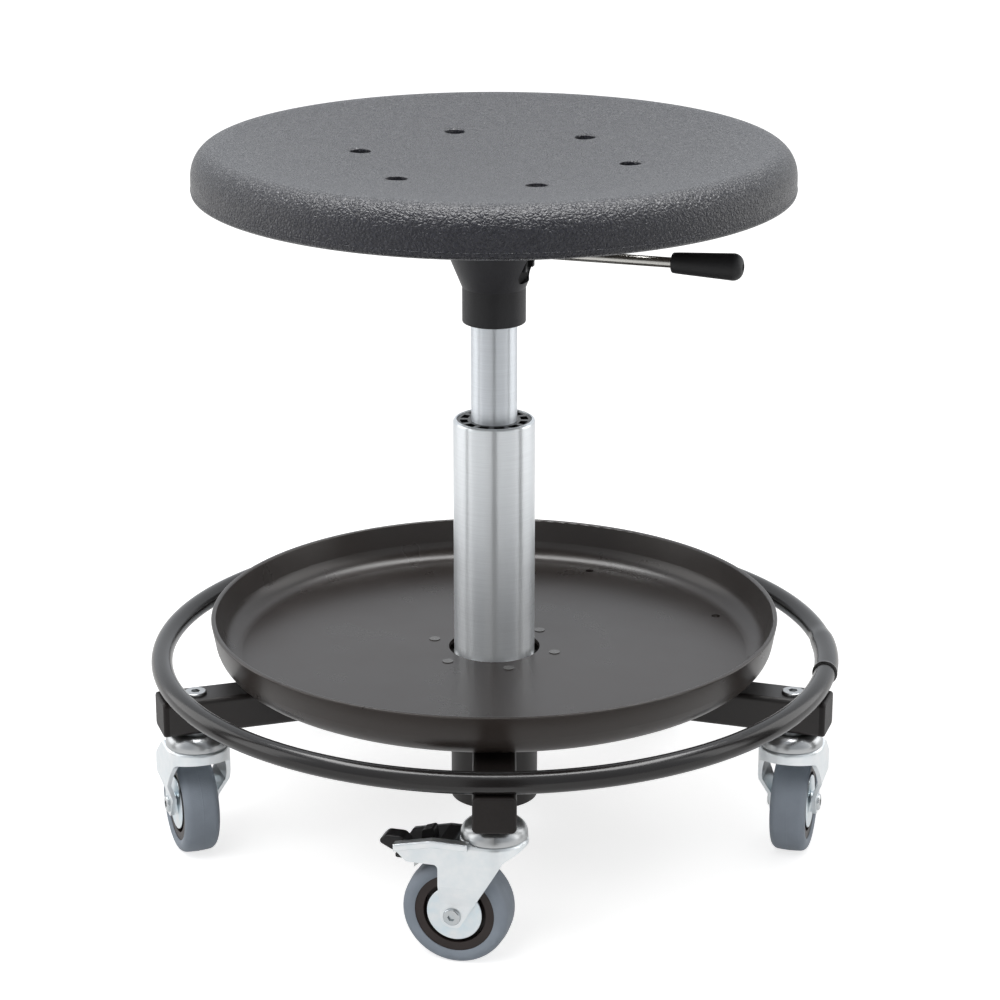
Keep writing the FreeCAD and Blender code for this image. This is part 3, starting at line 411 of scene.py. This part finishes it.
def grip_surface(column):
    """Handle turned about the lever: a neck with a rounded end, a straight taper, a dome, and a
    hollow in it."""
    start, end = column.grip_start, column.grip_end
    rod, hollow = 0.0031, end - 0.0012
    profile = rounded([
        (rod, start, 0), (column.grip_thin, start, 0.0012),
        (column.grip_thin + 0.0004, start + 0.004, 0.003), (column.grip_thick, end, 0.0058),
        (column.dimple + 0.0006, end, 0.0005), (column.dimple * 0.7, hollow, 0.0004),
        (0, hollow, 0)], 12)
    return lathe(*profile, 72)


def shader_of(name):
    """New material: its tree and its one shader."""
    material = bpy.data.materials.new(name)
    material.use_nodes = True
    tree = material.node_tree
    return material, tree, tree.nodes["Principled BSDF"]


def node(tree, kind, inputs=None, **settings):
    """Adds a shader node with its settings and the values of its sockets."""
    made = tree.nodes.new(kind)
    for key, value in settings.items():
        setattr(made, key, value)
    for key, value in (inputs or {}).items():
        made.inputs[key].default_value = value
    return made


def mapped(tree, scale=(1, 1, 1)):
    """Object coordinates stretched by a scale, as a socket."""
    place = node(tree, "ShaderNodeTexCoord")
    stretch = node(tree, "ShaderNodeMapping", {"Scale": scale})
    tree.links.new(place.outputs["Object"], stretch.inputs["Vector"])
    return stretch.outputs["Vector"]


def noise(tree, vector, scale, detail=3.0, roughness=0.55):
    """Cloudy pattern, as a socket."""
    made = node(tree, "ShaderNodeTexNoise",
                {"Scale": scale, "Detail": detail, "Roughness": roughness})
    tree.links.new(vector, made.inputs["Vector"])
    return made.outputs["Fac"]


def ranged(tree, value, low, high, from_low=0.3, from_high=0.7):
    """The value carried from one range to another, as a socket."""
    made = node(tree, "ShaderNodeMapRange",
                {"From Min": from_low, "From Max": from_high, "To Min": low, "To Max": high})
    tree.links.new(value, made.inputs["Value"])
    return made.outputs["Result"]


def between(tree, kind, value, low, high):
    """A value from 0 to 1 carried to two ends, each given or a socket, as a socket."""
    made = node(tree, "ShaderNodeMix", data_type=kind)
    tree.links.new(value, made.inputs["Factor"])
    for key, end in (("A", low), ("B", high)):
        if isinstance(end, bpy.types.NodeSocket):
            tree.links.new(end, made.inputs[key])
        else:
            made.inputs[key].default_value = (*end, 1) if kind == "RGBA" else end
    return made.outputs["Result"]


def tinted(tree, value, dark, light):
    """Colour between two, by a value from 0 to 1, as a socket."""
    return between(tree, "RGBA", value, dark, light)


def blended(tree, value, low, high):
    """Number between two, by a value from 0 to 1, as a socket."""
    return between(tree, "FLOAT", value, low, high)


def combined(tree, operation, first, second):
    """Sum, difference, product or larger of two sockets, as a socket."""
    made = node(tree, "ShaderNodeMath", operation=operation)
    tree.links.new(first, made.inputs[0])
    tree.links.new(second, made.inputs[1])
    return made.outputs[0]


def part_of(tree, vector, axis):
    """One part of a vector, as a socket."""
    split = node(tree, "ShaderNodeSeparateXYZ")
    tree.links.new(vector, split.inputs[0])
    return split.outputs[axis]


def reach_of(tree):
    """Distance from the Z axis, as a socket."""
    flat = node(tree, "ShaderNodeVectorMath", {1: (1, 1, 0)}, operation="MULTIPLY")
    tree.links.new(mapped(tree), flat.inputs[0])
    reach = node(tree, "ShaderNodeVectorMath", operation="LENGTH")
    tree.links.new(flat.outputs["Vector"], reach.inputs[0])
    return reach.outputs["Value"]


def bumped(tree, shader, height, strength, distance, before=None):
    """Raises the surface by a height pattern; before is a normal to start from."""
    made = node(tree, "ShaderNodeBump", {"Strength": strength, "Distance": distance})
    tree.links.new(height, made.inputs["Height"])
    if before is not None:
        tree.links.new(before, made.inputs["Normal"])
    tree.links.new(made.outputs["Normal"], shader.inputs["Normal"])
    return made.outputs["Normal"]


def faced(tree, shader, shade, roughness):
    """Joins a colour and a roughness to the shader."""
    tree.links.new(shade, shader.inputs["Base Color"])
    tree.links.new(roughness, shader.inputs["Roughness"])


def overlaid(material, mask, shade, roughness):
    """Lays another colour and roughness over a finish where the mask is 1."""
    tree = material.node_tree
    shader = tree.nodes["Principled BSDF"]
    under_shade = shader.inputs["Base Color"].links[0].from_socket
    under_rough = shader.inputs["Roughness"].links[0].from_socket
    faced(tree, shader, tinted(tree, mask, under_shade, shade),
          blended(tree, mask, under_rough, roughness))


def scaled(shade, factor):
    """Colour made lighter or darker, up to white."""
    return tuple(min(1.0, c * factor) for c in shade)


def moulded(name, base, roughness, grain, depth, mottle=0.18):
    """Plastic or rubber: fine grain in bump and roughness, slow clouds in colour."""
    clouds_per_metre, spread, strength = 38, 0.05, 0.35
    material, tree, shader = shader_of(name)
    vector = mapped(tree)
    clouds = ranged(tree, noise(tree, vector, clouds_per_metre, 4), 0, 1)
    fine = noise(tree, vector, 1 / grain, 2)
    faced(tree, shader, tinted(tree, clouds, scaled(base, 1 - mottle), scaled(base, 1 + mottle)),
          ranged(tree, fine, roughness - spread, roughness + spread))
    bumped(tree, shader, fine, strength, depth)
    shader.inputs["Specular IOR Level"].default_value = 0.3
    return material


def plated(name, base, roughness, cool=0.03):
    """Bright zinc: soft spangle in roughness and cool clouds in colour over a smooth metal."""
    spangle, clouds_per_metre, ripples_per_metre = 0.0035, 120, 400
    material, tree, shader = shader_of(name)
    shader.inputs["Metallic"].default_value = 1.0
    vector = mapped(tree)
    crystal = node(tree, "ShaderNodeTexVoronoi", {"Scale": 1 / spangle})
    tree.links.new(vector, crystal.inputs["Vector"])
    clouds = ranged(tree, noise(tree, vector, clouds_per_metre, 3), 0, 1)
    cool_base = (base[0] - cool, base[1], base[2] + cool / 2)
    faced(tree, shader, tinted(tree, clouds, scaled(cool_base, 0.93), base),
          ranged(tree, crystal.outputs["Distance"], roughness - 0.03, roughness + 0.05, 0, 0.8))
    bumped(tree, shader, noise(tree, vector, ripples_per_metre, 2), 0.03, 0.00005)
    return material


def drawn_metal(name, base, roughness, streak, stretch=0.0):
    """Drawn and polished metal: hairlines in roughness, colour and bump.

    A stretch draws the reflections out along the Z axis, as polishing round a tube does, and
    scatters a part of the light.
    """
    clouds_per_metre, hairline, cloudy = 30, 0.03, 0.02
    material, tree, shader = shader_of(name)
    shader.inputs["Metallic"].default_value = 0.6 if stretch else 1.0
    lines = noise(tree, mapped(tree, streak), 1, 3, 0.6)
    clouds = noise(tree, mapped(tree), clouds_per_metre, 3)
    worn = combined(tree, "ADD", ranged(tree, lines, -hairline, hairline),
                    ranged(tree, clouds, roughness - cloudy, roughness + cloudy))
    faced(tree, shader, tinted(tree, ranged(tree, lines, 0, 1), scaled(base, 0.92), base), worn)
    bumped(tree, shader, lines, 0.02, 0.00003)
    if stretch:
        round_tube = node(tree, "ShaderNodeTangent", direction_type="RADIAL", axis="Z")
        tree.links.new(round_tube.outputs["Tangent"], shader.inputs["Tangent"])
        shader.inputs["Anisotropic"].default_value = stretch
        shader.inputs["Anisotropic Rotation"].default_value = 0.25
    return material


def painted(name, base, roughness):
    """Satin coat: smooth, with a faint orange peel and slow clouds in its colour and gloss."""
    clouds_per_metre, peel_per_metre, spread = 26, 420, 0.025
    material, tree, shader = shader_of(name)
    vector = mapped(tree)
    clouds = noise(tree, vector, clouds_per_metre, 4)
    peel = noise(tree, vector, peel_per_metre, 2)
    shade = tinted(tree, ranged(tree, clouds, 0, 1), scaled(base, 0.93), scaled(base, 1.07))
    faced(tree, shader, shade, ranged(tree, clouds, roughness - spread, roughness + spread))
    bumped(tree, shader, peel, 0.05, 0.0001)
    shader.inputs["Specular IOR Level"].default_value = 0.5
    return material


def tray_plastic(base):
    """Moulded tray with a satin face, and the raised gate marks smoother, with a painted highlight
    that makes them a little paler.

    The marks are where the surface stands above the floor within reach of the hole.
    """
    material = painted("tray_plastic", base.tray, 0.29)
    tree = material.node_tree
    raised = ranged(tree, part_of(tree, mapped(tree), "Z"), 0, 1,
                    base.tray_floor + 0.0001, base.tray_floor + 0.0003)
    inner = ranged(tree, reach_of(tree), 1, 0, base.gate_marks, base.gate_marks + 0.002)
    # Painted highlight: the gate marks are laid in a paler colour.
    overlaid(material, combined(tree, "MULTIPLY", raised, inner), base.gate_painted_highlight, 0.2)
    return material


def cast_plastic(column):
    """Plastic of the cast hub, with painted shade where the surface lies inside the cone's outside.

    The outside's radius grows with the height by the slope of the cone, and the depth under it
    turns the surface to the near-black painted shade between two limits.
    """
    shallow, deep = 0.0006, 0.0022
    material = moulded("hub_plastic", column.cone, 0.42, grain=0.0009, depth=0.0003)
    tree = material.node_tree
    widening = (column.cone_top - column.cone_foot) * math.tan(column.cone_slope)
    outside = ranged(tree, part_of(tree, mapped(tree), "Z"), column.cone_radius,
                     column.cone_radius + widening, column.cone_foot, column.cone_top)
    depth = combined(tree, "SUBTRACT", outside, reach_of(tree))
    # Painted shade inside the lever window, deeper under the cone's outside.
    overlaid(material, ranged(tree, depth, 0, 1, shallow, deep), column.window_painted_shade, 0.9)
    return material


def foam_skin(seat):
    """Closed skin of moulded foam: hide-like cells, small on the dish and larger on the edge.

    The share of the edge pattern grows with the distance from the seat's axis. A slow noise bends
    the cells, and a fine one pebbles the ground between them. The colour follows the cells, with
    painted shade in their grooves and painted glints on their crests.
    """
    edge_start, edge_end = SEAT_HIGH.x - 0.034, SEAT_HIGH.x - 0.012
    dish_cells, edge_cells, bends, pebbles = 620, 410, 230, 760
    sway, spread = 0.0034, 0.14
    material, tree, shader = shader_of("seat_skin")
    place = mapped(tree)
    edge = ranged(tree, reach_of(tree), 0, 1, edge_start, edge_end)
    warp = node(tree, "ShaderNodeTexNoise", {"Scale": bends, "Detail": 2})
    tree.links.new(place, warp.inputs["Vector"])
    bend = node(tree, "ShaderNodeVectorMath", {1: (sway, sway, sway)}, operation="MULTIPLY_ADD")
    tree.links.new(warp.outputs["Color"], bend.inputs[0])
    tree.links.new(place, bend.inputs[2])
    heights = []
    for scale, crest, width in ((dish_cells, 0.9, 0.25), (edge_cells, 1, 0.28)):
        cell = node(tree, "ShaderNodeTexVoronoi", {"Scale": scale}, feature="DISTANCE_TO_EDGE")
        tree.links.new(bend.outputs["Vector"], cell.inputs["Vector"])
        heights.append(ranged(tree, cell.outputs["Distance"], 0, crest, 0, width))
    cells = blended(tree, edge, *heights)
    pebble = noise(tree, place, pebbles, 2)
    ground = bumped(tree, shader, pebble, 0.9, 0.0006)
    bumped(tree, shader, cells, 0.6, 0.0005, ground)
    # Painted shade and glints: the skin is darker in the grooves between cells and lighter on their
    # crests.
    faced(tree, shader, tinted(tree, cells, scaled(seat.skin, 0.7), scaled(seat.skin, 1.3)),
          ranged(tree, pebble, seat.gloss - spread, seat.gloss + spread))
    shader.inputs["Specular IOR Level"].default_value = 0.48
    return material


def plywood(seat):
    """Dark stained board: growth rings drawn out along one side, with fine fibres."""
    material, tree, shader = shader_of("seat_board")
    rings = ranged(tree, noise(tree, mapped(tree, (9, 120, 9)), 1, 5, 0.6), 0, 1)
    fibres = noise(tree, mapped(tree, (60, 1800, 60)), 1, 2)
    faced(tree, shader, tinted(tree, rings, seat.board_dark, seat.board_light),
          ranged(tree, fibres, 0.55, 0.7))
    bumped(tree, shader, fibres, 0.25, 0.0002)
    return material


def each_side(stem):
    """Names of the five nodes that share a stem."""
    return [f"{stem}_{side}" for side in SIDES]


def dress(names, finish):
    """Gives carried-over nodes a finish; their meshes and normals stay as packed."""
    for name in names:
        mesh = frame["nodes"][name].data
        mesh.materials.clear()
        mesh.materials.append(finish)


def finished(piece, material, body, slot, *nodes):
    """Gives a new piece its finish and its body, and hides the nodes that it stands for; the record
    slot is not used.
    """
    piece.data.materials.clear()
    piece.data.materials.append(material)
    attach(piece, body)
    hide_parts(*nodes)


class STOOL_OT_seat(Operator):
    """Makes the moulded seat pad and dresses the board and the screws under it"""
    bl_idname = "stool.seat"
    bl_label = "Seat"

    def execute(self, context):
        seat = context.scene.stool_seat
        pad = mesh_piece("seat_pad_moulded", [lathe(*seat_section(seat), 256)])
        carve(pad, vent_cutters(seat))
        split_creases(pad, 15)
        finished(pad, foam_skin(seat), "seat", "seat_skin", "seat_pad")
        dress(["seat_board"], plywood(seat))
        dress(["seat_screws"], plated("screw_zinc", context.scene.stool_casters.zinc, 0.25))
        return {"FINISHED"}


class STOOL_OT_hub(Operator):
    """Makes the lever's grip and dresses the hub, the sleeve and the lever"""
    bl_idname = "stool.hub"
    bl_label = "Hub and lever"

    def execute(self, context):
        column = context.scene.stool_column
        bearing = column.lever_bearing
        along = (math.cos(bearing), math.sin(bearing), 0)
        low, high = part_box("lever_grip")
        origin = (0, 0, (low.z + high.z) / 2)
        grip = mesh_piece("lever_grip_turned", [placed(grip_surface(column), along, origin)])
        split_creases(grip, 50)
        soft = moulded("grip_plastic", column.grip, 0.5, grain=0.0006, depth=0.0002)
        finished(grip, soft, "lever", "black_plastic", "lever_grip")
        dress(["hub_cone"], cast_plastic(column))
        dress(["hub_sleeve"],
              moulded("sleeve_plastic", column.sleeve, 0.46, grain=0.0008, depth=0.0003))
        dress(["lever_rod", "lever_pivot_pin"],
              drawn_metal("lever_steel", column.lever_steel, 0.24, streak=(40, 40, 900)))
        return {"FINISHED"}


class STOOL_OT_column(Operator):
    """Dresses the chromed column, the gas spring and what turns inside them"""
    bl_idname = "stool.column"
    bl_label = "Column"

    def execute(self, context):
        column = context.scene.stool_column
        dress(["column_tube"], drawn_metal("column_chrome", column.chrome, 0.32,
                                           streak=(40, 40, 2600), stretch=0.85))
        dress(["gas_cylinder"], drawn_metal("cylinder_steel", column.cylinder, 0.40,
                                            streak=(30, 30, 2200), stretch=0.8))
        dress(["guide_bush"],
              moulded("bush_plastic", column.plastic, 0.2, grain=0.0006, depth=0.0001))
        dress(["bearing_lower_race", "bearing_balls", "bearing_upper_race", "piston_rod",
               "piston", "retaining_clip", "rod_guide", "valve_body", "release_pin"],
              drawn_metal("inner_steel", column.inner_steel, 0.3, streak=(700, 700, 60)))
        dress(["rubber_buffer"],
              moulded("buffer_rubber", column.buffer, 0.7, grain=0.0007, depth=0.0003))
        return {"FINISHED"}


class STOOL_OT_base(Operator):
    """Makes the foot ring and dresses the hub, the arms, their caps and the tray"""
    bl_idname = "stool.base"
    bl_label = "Base and tray"

    def execute(self, context):
        base = context.scene.stool_base
        ring = mesh_piece("foot_ring_tube", [ring_surface(base)], True, True)
        split_creases(ring, 45)
        finished(ring, painted("ring_paint", base.paint, 0.2), "base", "black_paint",
                 "foot_ring")
        dress(["hub_tube", *each_side("arm")], painted("arm_paint", base.arm_paint, 0.42))
        dress(["arm_end_caps"],
              moulded("cap_plastic", base.arm_paint, 0.5, grain=0.0007, depth=0.0003))
        dress(["tool_tray"], tray_plastic(base))
        return {"FINISHED"}


class STOOL_OT_casters(Operator):
    """Makes the tyres and dresses the forks, wheels, axles, cups, bolts and brake"""
    bl_idname = "stool.casters"
    bl_label = "Casters"

    def execute(self, context):
        casters = context.scene.stool_casters
        rubber = moulded("grey_tyre", casters.rubber, 0.55, grain=0.0008, depth=0.0003,
                         mottle=0.1)
        for side in SIDES:
            spin = JOINTS[f"wheel_{side}_spin"]
            low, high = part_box(f"tyre_{side}")
            grid = placed(tyre_surface(casters), spin["axis"], (low + high) / 2)
            tyre = mesh_piece(f"tyre_{side}_moulded", [grid], True, True)
            split_creases(tyre, 50)
            finished(tyre, rubber, f"wheel_{side}", "grey_tyre", f"tyre_{side}")
        zinc = casters.zinc
        dress(each_side("fork"), plated("fork_zinc", scaled(zinc, 1.04), 0.34))
        dress(each_side("thread_guards"), plated("guard_zinc", scaled(zinc, 0.98), 0.3, cool=0.08))
        # Painted shade: the axles get a darker copy of the zinc, for the shade in their hollow
        # heads.
        dress(each_side("axle"), plated("axle_zinc_painted_shade", scaled(zinc, 0.7), 0.15))
        # Painted shade: cups, bolts, nuts and brake shoe get a darker copy of the zinc, for the
        # dark reflections on them.
        dress(["swivel_cups", "caster_bolts", "caster_nuts", "brake_shoe"],
              drawn_metal("cup_zinc_painted_shade", scaled(zinc, 0.6), 0.3, streak=(24, 24, 24)))
        dress(each_side("wheel_core"),
              moulded("wheel_plastic", casters.core, 0.4, grain=0.0007, depth=0.0002))
        dress(["brake_pedal"], moulded("pedal_plastic", context.scene.stool_column.plastic, 0.34,
                                       grain=0.0006, depth=0.0002))
        return {"FINISHED"}


def ray(tree, kind):
    """1 for one kind of ray, as a socket."""
    return node(tree, "ShaderNodeLightPath").outputs[f"Is {kind} Ray"]


def seen_rays(tree):
    """1 for rays of the camera, of mirror-like metal and of clear parts, as a socket."""
    first = combined(tree, "MAXIMUM", ray(tree, "Camera"), ray(tree, "Glossy"))
    return combined(tree, "MAXIMUM", first, ray(tree, "Transmission"))


def white_world(stage):
    """Even light all round; the camera sees plain white, and so do reflections, but cooler, and
    dimmer towards the front."""
    front, back = -0.8, 0.1
    cool_white = (0.93, 0.96, 1.0)
    world = bpy.data.worlds.new("studio")
    world.use_nodes = True
    tree = world.node_tree
    sky = tree.nodes["Background"]
    tree.links.new(tinted(tree, ray(tree, "Glossy"), (1, 1, 1), cool_white), sky.inputs["Color"])
    direction = node(tree, "ShaderNodeTexCoord").outputs["Generated"]
    room = ranged(tree, part_of(tree, direction, "Y"), stage.room, 1.0, front, back)
    mirrored = blended(tree, seen_rays(tree), stage.ambient, room)
    tree.links.new(blended(tree, ray(tree, "Camera"), mirrored, 1.0), sky.inputs["Strength"])
    bpy.context.scene.world = world


def stage_plate(name, corners, material):
    """Flat plate with four corners that belongs to the stage."""
    mesh = bpy.data.meshes.new(name)
    mesh.from_pydata(corners, [], [(0, 1, 2, 3)])
    mesh.materials.append(material)
    plate = bpy.data.objects.new(name, mesh)
    bpy.context.scene.collection.objects.link(plate)
    return plate


def pale_floor(stage):
    """Matt floor that keeps the shadow; the camera sees it lifted to white, reflections in part."""
    half = 30.0
    material, tree, shader = shader_of("pale_floor")
    shader.inputs["Base Color"].default_value = (*stage.floor, 1)
    shader.inputs["Roughness"].default_value = 0.9
    shader.inputs["Specular IOR Level"].default_value = 0.0
    shader.inputs["Emission Color"].default_value = (1, 1, 1, 1)
    mirrored = ranged(tree, seen_rays(tree), 0, stage.floor_lift * stage.floor_mirror, 0, 1)
    tree.links.new(blended(tree, ray(tree, "Camera"), mirrored, stage.floor_lift),
                   shader.inputs["Emission Strength"])
    corners = [(-half, -half, 0), (half, -half, 0), (half, half, 0), (-half, half, 0)]
    stage_plate("floor", corners, material)


def lamp(name, place, aim, size, power):
    """Large soft lamp that faces a point; reflections see the panels instead."""
    data = bpy.data.lights.new(name, "AREA")
    data.shape = "RECTANGLE"
    data.size, data.size_y = size
    data.energy = power
    made = bpy.data.objects.new(name, data)
    made.location = place
    made.rotation_euler = (Vector(aim) - Vector(place)).to_track_quat("-Z", "Y").to_euler()
    made.visible_glossy = False
    bpy.context.scene.collection.objects.link(made)


def mirror_card(name, corners, shade):
    """Plain card that only reflections see."""
    material, tree, shader = shader_of(name)
    tree.nodes.remove(shader)
    glow = node(tree, "ShaderNodeEmission", {"Color": (1, 1, 1, 1), "Strength": shade})
    tree.links.new(glow.outputs[0], tree.nodes["Material Output"].inputs["Surface"])
    card = stage_plate(name, corners, material)
    card.visible_camera = card.visible_diffuse = card.visible_shadow = False


def upright(degrees, width, distance=0.5, height=0.62):
    """Corners of an upright card that faces the column, at a bearing from the photograph's side."""
    swing = math.radians(degrees)
    foot = Vector((math.sin(swing), -math.cos(swing), 0)) * distance
    side = Vector((math.cos(swing), math.sin(swing), 0)) * width / 2
    top = Vector((0, 0, height))
    corners = (foot - side, foot + side, foot + side + top, foot - side + top)
    return [tuple(corner) for corner in corners]


class STOOL_OT_stage(Operator):
    """Sets the floor, the light, the cards that the metal mirrors, and the camera"""
    bl_idname = "stool.stage"
    bl_label = "Stage"

    def execute(self, context):
        scene = context.scene
        stage = scene.stool_stage
        scene.view_settings.view_transform = "Standard"
        white_world(stage)
        pale_floor(stage)
        lamp("key_lamp", place=(-0.9, -1.3, 2.0), aim=(0, 0, 0.3), size=(1.6, 1.2),
             power=stage.key)
        lamp("rim_lamp", place=(0.8, 1.2, 1.9), aim=(0, 0, 0.35), size=(1.4, 0.8),
             power=stage.key * stage.rim)
        dark, grey = 0.05, 0.78
        mirror_card("card_left", upright(-79.6, 0.07), dark)
        mirror_card("card_grey", upright(-15.0, 0.16), grey)
        mirror_card("card_middle", upright(0.6, 0.12), dark)
        mirror_card("card_right", upright(76.7, 0.11), dark)
        near, far, up = -0.35, 0.95, 1.9
        overhead = [(-1, near, up), (1, near, up), (1, far, up), (-1, far, up)]
        mirror_card("panel", overhead, stage.panel)
        near, far, low, high = -0.5, 0.7, 0.1, 1.1
        for side, x in (("left", -1.1), ("right", 1.1)):
            corners = [(x, near, low), (x, far, low), (x, far, high), (x, near, high)]
            mirror_card(f"panel_{side}", corners, stage.panel * stage.side_panel)
        data = bpy.data.cameras.new("camera")
        data.sensor_width = 36.0
        data.lens = stage.lens
        camera = bpy.data.objects.new("camera", data)
        camera.location = stage.eye
        camera.rotation_euler = (math.pi / 2 - stage.pitch, 0, -stage.yaw)
        scene.collection.objects.link(camera)
        scene.camera = camera
        return {"FINISHED"}


class STOOL_PT_panel(Panel):
    """Lists the stool's pieces and their settings"""
    bl_idname = "STOOL_PT_panel"
    bl_label = "Workshop stool"
    bl_space_type = "VIEW_3D"
    bl_region_type = "UI"
    bl_category = "Stool"

    def draw(self, context):
        for operator, group in BUTTONS:
            box = self.layout.box()
            box.operator(operator)
            settings = getattr(context.scene, group)
            for key in settings.__annotations__:
                box.prop(settings, key)


BUTTONS = (("stool.seat", "stool_seat"), ("stool.hub", "stool_column"),
           ("stool.column", "stool_column"), ("stool.base", "stool_base"),
           ("stool.casters", "stool_casters"), ("stool.stage", "stool_stage"))
GROUPS = {"stool_seat": StoolSeat, "stool_base": StoolBase, "stool_casters": StoolCasters,
          "stool_column": StoolColumn, "stool_stage": StoolStage}
CLASSES = (*GROUPS.values(), STOOL_OT_seat, STOOL_OT_hub, STOOL_OT_column, STOOL_OT_base,
           STOOL_OT_casters, STOOL_OT_stage, STOOL_PT_panel)


def register():
    """Adds the classes to Blender and the settings to its scenes."""
    for made in CLASSES:
        bpy.utils.register_class(made)
    for name, group in GROUPS.items():
        setattr(bpy.types.Scene, name, PointerProperty(type=group))


def unregister():
    """Takes the settings and the classes away again."""
    for name in GROUPS:
        delattr(bpy.types.Scene, name)
    for made in reversed(CLASSES):
        bpy.utils.unregister_class(made)


def main():
    """Makes every piece and the stage."""
    register()
    bpy.ops.stool.seat()
    bpy.ops.stool.hub()
    bpy.ops.stool.column()
    bpy.ops.stool.base()
    bpy.ops.stool.casters()
    bpy.ops.stool.stage()


if __name__ == "__main__":
    main()
